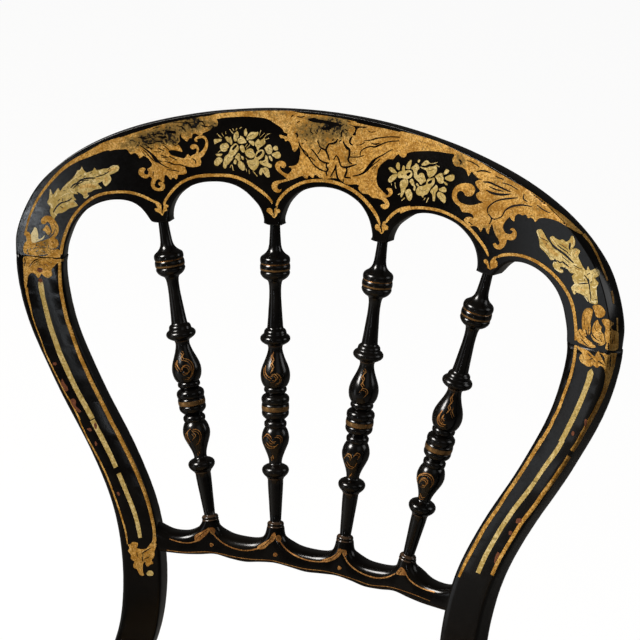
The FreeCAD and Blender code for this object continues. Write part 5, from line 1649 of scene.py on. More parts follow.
@dataclass(frozen=True)
class CrestRight:
    """Right third of the crest: acanthus round a second spray, a sprig and a shell."""

    sheet: Sheet = Sheet(400.0, 130.0, 6.27)
    acanthus: tuple[Pair, ...] = (
        (0, 12), (60, 20), (83, 25), (167, 50), (251, 80), (334, 117), (418, 159), (500, 198), (560, 235),
        (620, 270), (690, 310), (760, 350), (830, 395), (900, 445), (960, 490), (1010, 525), (1060, 567),
        (1100, 605), (1150, 655), (1128, 652), (1090, 632), (1040, 600), (990, 572), (940, 556), (900, 550),
        (870, 556), (850, 576), (838, 560), (822, 548), (805, 552), (790, 530), (768, 534), (745, 525),
        (722, 542), (716, 572), (700, 562), (690, 545), (668, 565), (650, 592), (648, 620), (660, 642),
        (680, 652), (700, 650), (708, 632), (690, 625), (706, 614), (722, 625), (733, 650), (722, 682),
        (695, 691), (672, 688), (665, 712), (650, 735), (625, 749), (598, 740), (584, 715), (598, 708),
        (612, 722), (625, 712), (620, 690), (605, 665), (592, 640), (585, 610), (578, 590), (562, 620),
        (556, 652), (545, 640), (536, 615), (522, 612), (508, 638), (490, 612), (462, 600), (440, 605),
        (415, 582), (402, 565), (415, 548), (442, 545), (462, 552), (458, 532), (430, 518), (392, 512),
        (375, 482), (345, 456), (328, 422), (332, 384), (355, 350), (395, 334), (432, 334), (458, 346),
        (472, 368), (464, 398), (444, 415), (414, 412), (398, 390), (380, 380), (362, 392), (358, 420),
        (376, 450), (410, 466), (450, 471), (492, 462), (522, 452), (500, 442), (484, 425), (480, 400),
        (502, 382), (482, 352), (474, 326), (500, 312), (522, 312), (490, 300), (468, 280), (450, 262),
        (430, 288), (420, 262), (400, 240), (378, 230), (350, 226), (334, 206), (330, 182), (342, 156),
        (290, 143), (220, 133), (150, 131), (80, 136), (46, 146), (36, 168), (14, 170), (-6, 150), (-6, 80),
    )
    veins: tuple[tuple[Mark, ...], ...] = (
        ((520, 325, 3), (560, 328, 7), (600, 345, 6), (650, 368, 6), (700, 390, 3)),
        ((540, 375, 3), (580, 395, 8), (640, 405, 8), (700, 400, 3)),
        ((560, 355, 3), (600, 372, 5), (650, 385, 3)),
        ((550, 520, 3), (552, 490, 5), (580, 460, 5), (620, 440, 5), (680, 430, 6), (740, 425, 3)),
        ((600, 560, 3), (640, 540, 4), (660, 505, 5), (700, 480, 7), (760, 470, 6), (830, 480, 3)),
        ((560, 530, 3), (575, 560, 5), (560, 590, 3)), ((550, 525, 3), (590, 560, 4), (610, 555, 3)),
        ((780, 400, 3), (775, 430, 5), (800, 450, 3)), ((370, 185, 5), (385, 200, 6), (380, 215, 3)),
        ((480, 262, 3), (520, 255, 6), (570, 268, 3)), ((430, 575, 3), (455, 595, 4)), ((575, 600, 4),
         (580, 640, 4)),
        ((640, 330, 3), (690, 345, 4), (740, 375, 3)), ((860, 470, 3), (900, 500, 4), (940, 520, 3)),
        ((420, 190, 3), (460, 205, 4), (500, 232, 3)), ((600, 290, 3), (650, 310, 4)),
    )
    edge_line: tuple[Mark, ...] = (
        (1150, 655, 20), (1190, 705, 14), (1222, 760, 13), (1250, 820, 12), (1275, 880, 11), (1300, 945, 10),
    )
    edge_line_low: tuple[Mark, ...] = ((1325, 1010, 12), (1335, 1060, 11), (1338, 1090, 7))
    sprig: tuple[Pair, ...] = (
        (858, 632), (882, 620), (900, 640), (922, 680), (945, 712), (960, 735), (985, 755), (950, 700),
        (942, 675), (958, 664), (980, 680), (1005, 690), (1020, 685), (1040, 700), (1062, 690), (1080, 662),
        (1098, 690), (1095, 725), (1082, 745), (1110, 742), (1130, 760), (1118, 790), (1135, 830),
        (1150, 860), (1170, 880), (1180, 855), (1195, 880), (1225, 870), (1250, 885), (1245, 915),
        (1225, 930), (1245, 960), (1235, 985), (1232, 1020), (1240, 1060), (1238, 1090), (1210, 1090),
        (1190, 1080), (1180, 1060), (1165, 1045), (1140, 1030), (1110, 1020), (1095, 1032), (1080, 1005),
        (1075, 985), (1095, 965), (1085, 940), (1080, 915), (1095, 900), (1070, 895), (1050, 870),
        (1035, 860), (1020, 870), (1025, 890), (1010, 896), (985, 880), (962, 855), (960, 835), (985, 825),
        (975, 810), (950, 815), (930, 790), (905, 760), (880, 735), (875, 700), (865, 660),
    )
    close: Sheet = Sheet(532.0, 225.0, 16.0, vein=1.8)
    sprig_veins: tuple[tuple[Mark, ...], ...] = (
        ((280, 230, 8), (320, 300, 14), (370, 350, 17), (430, 400, 19), (500, 450, 20), (560, 500, 20),
         (620, 560, 16),
         (672, 608, 9)),
        ((410, 320, 8), (470, 370, 10), (530, 410, 10), (582, 440, 7)), ((440, 300, 5), (520, 350, 7),
         (580, 390, 5)),
        ((612, 285, 14), (608, 330, 20), (604, 372, 14), (612, 400, 8)), ((500, 600, 10), (560, 640, 13),
         (592, 672, 9)),
        ((378, 568, 8), (420, 575, 10), (450, 600, 13), (490, 588, 12), (532, 612, 12)),
        ((452, 682, 16), (490, 690, 26), (522, 702, 14)), ((480, 500, 5), (540, 550, 7), (600, 602, 5)),
        ((668, 642, 5), (740, 682, 7), (800, 702, 5)), ((750, 942, 6), (820, 936, 12), (902, 934, 8)),
        ((840, 800, 7), (880, 850, 10), (906, 905, 16), (920, 960, 11), (930, 1050, 10), (942, 1130, 10),
         (940, 1220, 7)),
        ((900, 860, 14), (908, 900, 20)), ((880, 792, 7), (932, 770, 7)), ((1000, 1190, 6), (1042, 1195, 7)),
        ((130, 200, 5), (200, 232, 7), (262, 262, 6)), ((222, 295, 9), (240, 308, 9)), ((940, 930, 8),
         (960, 900, 8)),
        ((845, 860, 6), (850, 900, 7)), ((700, 1060, 10), (712, 1100, 8)), ((560, 440, 5), (620, 490, 6)),
    )
    # cream strokes on the sprig: partly its lighter powder, partly painted highlight
    sprig_painted_highlights: tuple[tuple[Mark, ...], ...] = (
        ((466, 496, 20), (484, 512, 20)), ((680, 628, 18), (724, 640, 18)), ((762, 928, 9), (850, 914, 12)),
        ((652, 982, 12), (682, 952, 16), (762, 960, 12)), ((820, 830, 16), (852, 850, 18)),
        ((960, 980, 16), (1002, 1002, 22), (1048, 960, 16)), ((950, 1226, 22), (1032, 1230, 24)),
        ((842, 1140, 11), (902, 1222, 15)), ((340, 622, 9), (352, 592, 12), (392, 600, 9)),
        ((360, 690, 11), (440, 742, 15), (490, 742, 11)), ((84, 92, 10), (102, 160, 12), (134, 222, 9)),
        ((130, 322, 8), (182, 370, 10), (240, 422, 10), (300, 500, 9), (350, 560, 8)), ((540, 690, 8),
         (640, 715, 9)),
        ((662, 402, 7), (642, 432, 9), (640, 500, 7)), ((1000, 742, 10), (1050, 722, 15), (1072, 770, 11)),
        ((300, 190, 7), (342, 250, 10), (382, 300, 8)), ((1030, 1040, 14), (1034, 1130, 16)), ((760, 870, 12),
         (800, 880, 12)),
        ((980, 800, 10), (950, 850, 14), (960, 890, 10)), ((660, 180, 8), (676, 240, 10), (672, 300, 8)),
    )
    sprig_gold: tuple[tuple[Mark, ...], ...] = (
        ((720, 400, 24), (712, 440, 34), (690, 472, 24)), ((480, 300, 36), (560, 350, 40)), ((330, 220, 20),
         (370, 270, 24)),
        ((160, 140, 40), (200, 250, 60), (300, 400, 60), (420, 490, 50)), ((700, 690, 22), (772, 722, 22)),
        ((640, 240, 26), (650, 300, 26)), ((560, 660, 26), (640, 690, 24)),
        ((740, 1010, 30), (840, 1050, 34)),
    )
    shell_left: tuple[Pair, ...] = (
        (1150, 1270), (1142, 1220), (1145, 1160), (1160, 1125), (1185, 1115), (1208, 1128), (1205, 1165),
        (1195, 1210), (1198, 1250), (1185, 1285), (1160, 1290),
    )
    shell_bulb: tuple[Pair, ...] = (
        (1210, 1105), (1235, 1095), (1265, 1105), (1288, 1140), (1280, 1165), (1255, 1178), (1232, 1170),
        (1222, 1140),
    )
    shell_middle: tuple[Pair, ...] = (
        (1210, 1230), (1225, 1200), (1240, 1190), (1250, 1215), (1265, 1235), (1262, 1260), (1280, 1285),
        (1300, 1320),
        (1270, 1350), (1240, 1345), (1215, 1320), (1200, 1290),
    )
    shell_right: tuple[Pair, ...] = (
        (1268, 1190), (1300, 1185), (1325, 1200), (1340, 1215), (1320, 1235), (1335, 1255), (1365, 1265),
        (1368, 1320), (1362, 1375), (1320, 1382), (1290, 1370), (1300, 1320), (1285, 1285), (1290, 1240),
        (1275, 1215),
    )
    shell_low: tuple[Pair, ...] = (
        (1110, 1285), (1130, 1245), (1150, 1270), (1165, 1300), (1200, 1330), (1230, 1360), (1200, 1365),
        (1150, 1345), (1115, 1325),
    )
    shell_sheet: Sheet = Sheet(560.0, 298.0, 14.0, vein=1.25)
    shell_lines: tuple[tuple[Mark, ...], ...] = (
        ((402, 400, 7), (400, 500, 9), (430, 572, 10), (470, 602, 7)), ((290, 560, 7), (350, 630, 12),
         (392, 668, 9)),
        ((452, 640, 9), (500, 656, 13), (540, 650, 9)), ((550, 480, 7), (592, 502, 9)), ((560, 560, 8),
         (590, 620, 9)),
        ((738, 575, 8), (724, 640, 9)), ((545, 530, 6), (565, 550, 7)), ((610, 430, 8), (622, 520, 9),
         (640, 640, 9)),
        ((330, 230, 5), (350, 300, 6), (345, 380, 5)), ((500, 350, 5), (490, 420, 7), (520, 470, 6)),
        ((710, 470, 6), (700, 560, 8)), ((760, 520, 6), (755, 600, 7)), ((270, 470, 6), (300, 530, 8),
         (340, 570, 6)),
        ((470, 520, 6), (500, 570, 8), (550, 600, 6)), ((720, 330, 7), (736, 352, 8), (722, 372, 7)),
    )
    shell_edge: tuple[Mark, ...] = ((1360, 1178, 8), (1362, 1260, 10))
    shell_veins: tuple[tuple[Mark, ...], ...] = (
        ((1165, 1250, 3), (1180, 1295, 5), (1215, 1325, 5), (1255, 1345, 4)),
        ((1200, 1225, 3), (1205, 1280, 4), (1230, 1310, 4)),
    )
    fourth_line: tuple[Mark, ...] = (
        (0, 515, 18), (60, 492, 18), (125, 487, 18), (200, 495, 18), (270, 512, 18), (340, 545, 18),
        (400, 585, 18), (450, 630, 18), (495, 685, 18), (530, 735, 18), (548, 770, 14), (555, 790, 8),
    )
    fourth_drop: tuple[Pair, ...] = (
        (527, 815), (540, 810), (552, 822), (560, 848), (568, 825), (580, 805), (600, 792), (618, 795),
        (600, 808), (612, 830), (608, 858), (588, 866), (570, 874), (550, 865), (545, 845), (530, 832),
    )
    fifth_line: tuple[Mark, ...] = (
        (615, 795, 12), (640, 785, 18), (700, 780, 18), (760, 788, 18), (820, 808, 18), (880, 840, 19),
        (940, 885, 19), (990, 935, 19), (1035, 995, 19), (1070, 1060, 19), (1090, 1130, 19), (1100, 1200, 19),
        (1105, 1270, 19), (1105, 1318, 19),
    )
    slits: tuple[tuple[Mark, ...], ...] = (((556, 790, 4), (560, 830, 4), (566, 868, 3)),)
    spray_sheet: Sheet = Sheet(384.0, 154.0, 16.0, vein=1.1)
    spray: tuple[tuple[Pair, ...], ...] = (
        ((75, 225), (110, 210), (150, 230), (190, 270), (215, 305), (185, 310), (140, 300), (105, 270)),
        ((75, 400), (110, 350), (160, 325), (210, 325), (205, 370), (165, 415), (110, 455), (70, 440)),
        ((195, 180), (225, 130), (250, 150), (255, 210), (250, 255), (225, 250), (200, 220)),
        ((290, 230), (315, 180), (340, 215), (335, 260), (350, 265), (390, 255), (430, 265), (455, 300),
         (450, 350), (420, 385), (380, 400), (390, 440), (380, 500), (350, 545), (340, 590), (310, 640),
         (280, 695), (265, 670), (275, 620), (270, 560), (255, 490), (270, 430), (320, 400), (290, 380),
         (245, 385), (215, 340), (230, 295), (270, 275), (295, 265)),
        ((355, 230), (370, 165), (400, 120), (440, 95), (440, 150), (425, 200), (420, 240), (385, 240)),
        ((450, 205), (490, 180), (515, 150), (555, 185), (570, 230), (540, 260), (530, 300), (545, 340),
         (590, 300), (640, 320), (655, 370), (675, 430), (630, 460), (590, 490), (560, 450), (520, 410),
         (485, 370), (480, 300), (470, 260), (440, 230)),
        ((545, 95), (580, 90), (570, 130), (548, 135)),
        ((600, 175), (625, 140), (680, 100), (720, 120), (735, 150), (700, 170), (650, 185)),
        ((580, 205), (640, 215), (690, 220), (740, 200), (780, 200), (830, 185), (850, 230), (840, 290),
         (800, 340), (760, 365), (725, 375), (700, 340), (690, 290), (665, 255), (620, 235)),
        ((685, 430), (710, 395), (760, 390), (800, 375), (815, 410), (810, 460), (790, 500), (750, 540),
         (730, 580), (690, 640), (640, 665), (625, 700), (600, 670), (550, 660), (515, 620), (520, 570),
         (560, 520), (620, 510), (670, 490)),
        ((820, 360), (860, 330), (900, 305), (935, 310), (950, 360), (960, 420), (950, 460), (900, 470),
         (860, 440), (845, 395)),
        ((955, 330), (970, 280), (1000, 240), (1045, 270), (1030, 300), (985, 325)),
        ((975, 385), (1020, 350), (1080, 330), (1120, 335), (1130, 370), (1120, 410), (1080, 435),
         (1020, 425)),
        ((950, 440), (985, 450), (1020, 480), (1015, 500), (985, 490)),
        ((750, 580), (790, 540), (840, 495), (865, 545), (850, 590), (830, 620), (820, 700), (810, 750),
         (785, 750), (780, 690), (770, 640), (745, 610)),
        ((875, 565), (920, 540), (960, 525), (995, 550), (1000, 600), (960, 610), (910, 595)),
        ((850, 640), (880, 605), (930, 620), (980, 670), (992, 730), (970, 785), (940, 770), (890, 720),
         (860, 680)),
        ((340, 600), (370, 570), (410, 560), (440, 600), (455, 660), (440, 720), (415, 750), (385, 730),
         (350, 650)),
        ((410, 440), (435, 400), (450, 390), (480, 440), (490, 490), (510, 530), (490, 590), (470, 560),
         (480, 520), (450, 500), (430, 470)),
        ((515, 480), (530, 465), (560, 500), (550, 520)),
    )
    spray_eyes: tuple[tuple[Pair, ...], ...] = (
        ((358, 328), (395, 293), (432, 295), (422, 325), (385, 352)),
        ((703, 455), (730, 425), (768, 418), (768, 450), (740, 477), (710, 477)),
    )
    spray_hairs: tuple[tuple[Mark, ...], ...] = (
        ((180, 455, 8), (180, 500, 11), (195, 550, 8)), ((120, 470, 9), (125, 500, 9)), ((225, 650, 12),
         (268, 630, 12)),
        ((285, 745, 12), (335, 700, 15)), ((640, 735, 10), (662, 700, 12)), ((680, 775, 11), (715, 700, 15)),
        ((730, 150, 9), (800, 150, 11), (860, 130, 8)), ((830, 175, 9), (892, 206, 11)),
    )
    spray_folds: tuple[tuple[Mark, ...], ...] = (
        ((330, 402, 6), (390, 398, 7), (440, 375, 6)), ((270, 545, 5), (320, 540, 6)), ((480, 205, 5),
         (520, 220, 6)),
        ((540, 395, 5), (590, 380, 6), (620, 400, 5)), ((700, 270, 5), (760, 260, 6), (800, 240, 5)),
        ((570, 570, 5), (630, 590, 6), (680, 570, 5)), ((650, 130, 5), (690, 140, 5)), ((880, 350, 5),
         (920, 380, 6)),
        ((380, 620, 5), (400, 680, 6)), ((900, 650, 5), (940, 700, 6)), ((790, 600, 6), (800, 650, 6)),
        ((275, 320, 5), (310, 330, 6)),
    )

    def shapes(self) -> list[Shape]:
        """All shapes of this part."""
        s = self.sheet
        lines = (self.edge_line, self.edge_line_low, self.shell_edge, self.fourth_line, self.fifth_line)
        gold = s.strokes(Paint.BRONZE, *lines)
        shell = (self.shell_left, self.shell_bulb, self.shell_middle, self.shell_right, self.shell_low)
        for outline in (self.acanthus, self.fourth_drop, *shell):
            gold += s.patch(Paint.BRONZE, outline)
        gold += (
            s.strokes(Paint.BLACK, *self.veins, *self.shell_veins, *self.slits)
            + s.patch(Paint.PALE, self.sprig)
        )
        # the cream strokes are partly painted highlight
        gold += (
            self.close.strokes(Paint.CREAM_HIGHLIGHT, *self.sprig_painted_highlights)
            + self.close.strokes(Paint.RICH, *self.sprig_gold)
        )
        gold += self.close.strokes(Paint.BLACK, *self.sprig_veins)
        for outline in self.spray:
            gold += self.spray_sheet.patch(Paint.PALE, outline)
        for outline in self.spray_eyes:
            gold += self.spray_sheet.patch(Paint.BLACK, outline)
        gold += self.spray_sheet.strokes(Paint.BLACK, *self.spray_folds)
        gold += self.shell_sheet.strokes(Paint.BLACK, *self.shell_lines)
        return gold + self.spray_sheet.strokes(Paint.PALE, *self.spray_hairs)


@dataclass(frozen=True)
class LeftPostStencil:
    """Stripes of the left post, the foot of its shell and its leafy pendant."""

    high: Sheet = Sheet(15.0, 250.0, 8.0)
    low: Sheet = Sheet(60.0, 420.0, 9.0)
    shell_sheet: Sheet = Sheet(15.0, 245.0, 4.875)
    shell: tuple[Pair, ...] = (
        (43, 59), (80, 56), (130, 64), (190, 63), (232, 63), (236, 76), (222, 82), (205, 90), (190, 105),
        (178, 120), (181, 145), (165, 160), (148, 155), (138, 148), (130, 140), (115, 160), (105, 150),
        (100, 142), (85, 135), (72, 140), (64, 155), (59, 185), (54, 215), (48, 205), (43, 150), (41, 100),
    )
    joint_sheet: Sheet = Sheet(18.0, 212.0, 14.0, vein=1.25)
    joint_lines: tuple[tuple[Mark, ...], ...] = (
        ((165, 765, 7), (200, 705, 12), (250, 668, 14), (300, 652, 9)), ((210, 722, 5), (260, 692, 8),
         (300, 676, 5)),
        ((90, 640, 8), (100, 700, 13), (90, 760, 8)), ((285, 780, 9), (345, 802, 13)), ((420, 690, 5),
         (470, 720, 7)),
        ((360, 720, 5), (420, 760, 7)), ((300, 730, 5), (350, 745, 6)),
    )
    shell_rub: tuple[Pair, ...] = ((112, 110), (132, 114), (134, 128), (120, 134), (108, 124))
    outer_high: tuple[Mark, ...] = (
        (92, 300, 22), (102, 370, 18), (122, 450, 12), (140, 530, 8), (170, 620, 8),
        (205, 710, 8), (240, 810, 9), (290, 920, 10), (340, 1020, 9), (400, 1140, 10), (460, 1240, 12),
        (520, 1360, 14),
    )
    outer_low: tuple[Mark, ...] = (
        (172, 0, 11), (205, 70, 11), (255, 175, 12), (310, 275, 13), (370, 390, 14), (425, 510, 14),
        (475, 640, 14), (520, 765, 14), (556, 880, 14), (588, 990, 14), (603, 1080, 12), (608, 1115, 8),
    )
    stripe_high: tuple[Mark, ...] = (
        (205, 228, 6), (205, 260, 36), (212, 310, 42), (225, 380, 34), (240, 440, 36), (262, 530, 38),
        (290, 630, 38),
        (325, 730, 40), (360, 830, 40), (405, 930, 42), (455, 1040, 40), (505, 1140, 40), (560, 1240, 40),
        (620, 1350, 40),
    )
    stripe_low: tuple[Mark, ...] = (
        (292, 0, 44), (350, 110, 44), (405, 215, 44), (455, 315, 42), (505, 425, 40),
    )
    stripe_foot: tuple[Mark, ...] = (
        (528, 480, 40), (570, 580, 40), (615, 690, 38), (655, 790, 38), (690, 900, 36), (710, 990, 36),
        (722, 1060, 30),
    )
    inner_high: tuple[Mark, ...] = (
        (358, 62, 18), (358, 95, 20), (358, 180, 24), (362, 270, 26), (372, 350, 28), (390, 440, 28),
        (415, 550, 28),
        (445, 640, 28), (480, 740, 28), (520, 850, 28), (565, 950, 28), (610, 1050, 30), (655, 1140, 30),
        (705, 1240, 30), (755, 1340, 30),
    )
    inner_low: tuple[Mark, ...] = (
        (440, -30, 34), (460, 10, 34), (515, 110, 34), (575, 230, 34), (635, 350, 34), (690, 470, 34),
        (735, 580, 32),
        (775, 690, 30), (805, 790, 28), (828, 890, 26), (845, 970, 26), (850, 1040, 28), (848, 1090, 34),
        (820, 1130, 30), (790, 1160, 20),
    )
    pendant: tuple[Pair, ...] = (
        (612, 1120), (632, 1118), (650, 1100), (680, 1098), (702, 1108), (700, 1135), (690, 1150),
        (720, 1160), (760, 1160), (800, 1150), (830, 1125), (850, 1100), (866, 1110), (862, 1150),
        (850, 1180), (852, 1215), (842, 1240), (825, 1262), (840, 1290), (815, 1300), (790, 1318),
        (772, 1300), (770, 1275), (750, 1290), (745, 1330), (748, 1370), (758, 1395), (730, 1398),
        (712, 1380), (690, 1340), (665, 1330), (662, 1300), (672, 1275), (655, 1262), (638, 1245),
        (640, 1215), (625, 1195), (612, 1175), (625, 1150),
    )
    bud: tuple[Pair, ...] = ((780, 1380), (800, 1355), (825, 1355), (842, 1378), (835, 1398), (790, 1398))
    pendant_veins: tuple[tuple[Mark, ...], ...] = (
        ((735, 1200, 5), (770, 1180, 6), (820, 1150, 4)), ((740, 1230, 4), (745, 1270, 6)),
        ((690, 1190, 4), (700, 1230, 4)), ((760, 1250, 3), (800, 1235, 5)),
    )
    rubs_high: tuple[tuple[Pair, ...], ...] = (
        ((378, 1030), (398, 1065), (420, 1095), (425, 1120), (405, 1130), (388, 1105), (370, 1075)),
        ((445, 1195), (475, 1190), (490, 1215), (485, 1240), (505, 1265), (530, 1290), (515, 1300),
         (480, 1270), (455, 1235)),
        ((575, 1430), (600, 1424), (616, 1440), (600, 1450)),
        ((304, 902), (330, 900), (332, 918), (310, 922)), ((188, 232), (208, 226), (222, 250), (200, 262)),
    )
    rubs_low: tuple[tuple[Pair, ...], ...] = (
        ((318, 190), (335, 215), (325, 235), (312, 210)), ((512, 650), (530, 648), (540, 675), (525, 680)),
        ((318, 20), (334, 50), (326, 84), (306, 48)),
    )

    def shapes(self) -> list[Shape]:
        """All shapes of this post."""
        gold = self.high.strokes(Paint.BRONZE, self.outer_high, self.inner_high)
        gold += self.low.strokes(Paint.BRONZE, self.outer_low, self.inner_low)
        gold += self.high.strokes(Paint.PALE, self.stripe_high)
        gold += self.low.strokes(Paint.PALE, self.stripe_low, self.stripe_foot)
        gold += self.low.patch(Paint.BRONZE, self.pendant) + self.low.patch(Paint.PALE, self.bud)
        gold += (
            self.shell_sheet.patch(Paint.BRONZE, self.shell)
            + self.shell_sheet.patch(Paint.BARE, self.shell_rub)
        )
        gold += self.joint_sheet.strokes(Paint.BLACK, *self.joint_lines)
        for outline in self.rubs_high:
            gold += self.high.patch(Paint.BARE, outline)
        for outline in self.rubs_low:
            gold += self.low.patch(Paint.BARE, outline)
        return gold + self.low.strokes(Paint.BLACK, *self.pendant_veins)


@dataclass(frozen=True)
class RightPostStencil:
    """Stripes of the right post and the foot of its shell."""

    high: Sheet = Sheet(560.0, 340.0, 11.0)
    low: Sheet = Sheet(480.0, 440.0, 10.0)
    inner_high: tuple[Mark, ...] = (
        (176, 22, 28), (175, 60, 30), (160, 200, 32), (135, 330, 32), (100, 450, 32), (60, 560, 32),
        (20, 670, 32), (-14, 760, 32), (-60, 850, 34), (-112, 960, 36), (-190, 1090, 38), (-268, 1210, 38),
    )
    inner_low: tuple[Mark, ...] = (
        (620, -10, 36), (560, 90, 38), (480, 220, 36), (400, 345, 34), (330, 450, 34), (255, 560, 34),
        (180, 680, 34),
        (110, 780, 36), (50, 870, 36), (0, 960, 36), (-60, 1070, 34), (-120, 1180, 32), (-170, 1280, 28),
        (-210, 1370, 22),
    )
    stripe_high: tuple[Mark, ...] = (
        (348, 318, 6), (340, 355, 60), (325, 420, 62), (305, 480, 58), (275, 560, 56), (240, 650, 56),
        (200, 740, 56),
        (160, 830, 56), (110, 930, 56), (60, 1030, 54), (10, 1120, 54),
    )
    stripe_low: tuple[Mark, ...] = (
        (830, 0, 44), (790, 70, 46), (730, 160, 46), (670, 240, 44), (600, 340, 40), (540, 430, 40),
        (490, 500, 44), (420, 590, 46), (350, 680, 46), (280, 780, 46), (220, 870, 46), (160, 970, 46),
        (110, 1060, 46), (60, 1150, 46), (10, 1260, 46), (-20, 1330, 44),
    )
    outer_high: tuple[Mark, ...] = (
        (545, 300, 90), (530, 400, 70), (505, 500, 50), (475, 590, 46), (435, 680, 46), (385, 780, 46),
        (330, 880, 46),
        (285, 960, 46), (235, 1050, 44), (185, 1140, 42), (130, 1220, 42),
    )
    outer_low: tuple[Mark, ...] = (
        (890, 160, 40), (850, 228, 40), (800, 300, 40), (740, 390, 40), (680, 470, 40), (620, 550, 38),
        (560, 640, 38),
        (490, 730, 38), (420, 820, 36), (350, 930, 36), (290, 1030, 34), (230, 1130, 34), (170, 1240, 34),
        (120, 1350, 34),
    )
    shell: tuple[Pair, ...] = (
        (190, 60), (215, 75), (250, 90), (300, 110), (345, 150), (385, 180), (400, 150), (430, 120),
        (500, 120), (560, 125), (625, 125), (612, 200), (595, 300), (570, 360), (548, 420), (530, 480),
        (510, 540), (485, 530), (490, 450), (495, 390), (490, 330), (465, 290), (435, 285), (415, 305),
        (390, 295), (365, 275), (345, 290), (305, 290), (265, 265), (230, 240), (215, 200), (225, 165),
        (248, 145), (225, 120), (200, 95),
    )
    joint_sheet: Sheet = Sheet(560.0, 298.0, 14.0, vein=1.25)
    joint_lines: tuple[tuple[Mark, ...], ...] = (
        ((345, 698, 6), (400, 728, 11), (490, 812, 7)), ((410, 702, 5), (500, 792, 9)),
        ((560, 772, 10), (600, 842, 18), (632, 912, 8)), ((415, 862, 12), (462, 842, 15)), ((700, 860, 7),
         (715, 885, 8)),
        ((660, 900, 6), (672, 930, 7)), ((730, 920, 6), (724, 960, 7)), ((690, 960, 6), (684, 1000, 7)),
        ((470, 860, 6), (500, 900, 8)), ((740, 790, 6), (744, 830, 7)),
    )
    shell_slits: tuple[tuple[Mark, ...], ...] = (
        ((435, 150, 4), (460, 165, 9), (485, 200, 10), (488, 232, 4)), ((300, 140, 3), (330, 170, 7),
         (350, 185, 4)),
        ((560, 160, 4), (548, 230, 8), (552, 300, 4)), ((420, 230, 4), (450, 250, 7), (480, 270, 4)),
    )
    rubs_high: tuple[tuple[Pair, ...], ...] = (
        ((280, 868), (300, 880), (296, 925), (276, 962), (270, 915)), ((140, 1000), (160, 1015), (145, 1055),
         (128, 1040)),
    )
    rubs_low: tuple[tuple[Pair, ...], ...] = (
        ((372, 785), (420, 790), (405, 826), (362, 830)), ((296, 908), (320, 915), (308, 950), (290, 945)),
        ((180, 1120), (200, 1140), (165, 1200), (145, 1238), (150, 1180)),
    )

    def shapes(self) -> list[Shape]:
        """All shapes of this post."""
        gold = self.high.strokes(Paint.BRONZE, self.inner_high, self.outer_high)
        gold += self.low.strokes(Paint.BRONZE, self.inner_low, self.outer_low)
        gold += (
            self.high.strokes(Paint.PALE, self.stripe_high)
            + self.low.strokes(Paint.PALE, self.stripe_low)
        )
        gold += (
            self.high.patch(Paint.BRONZE, self.shell)
            + self.joint_sheet.strokes(Paint.BLACK, *self.joint_lines)
        )
        for outline in self.rubs_high:
            gold += self.high.patch(Paint.BARE, outline)
        for outline in self.rubs_low:
            gold += self.low.patch(Paint.BARE, outline)
        return gold + self.high.strokes(Paint.BLACK, *self.shell_slits)


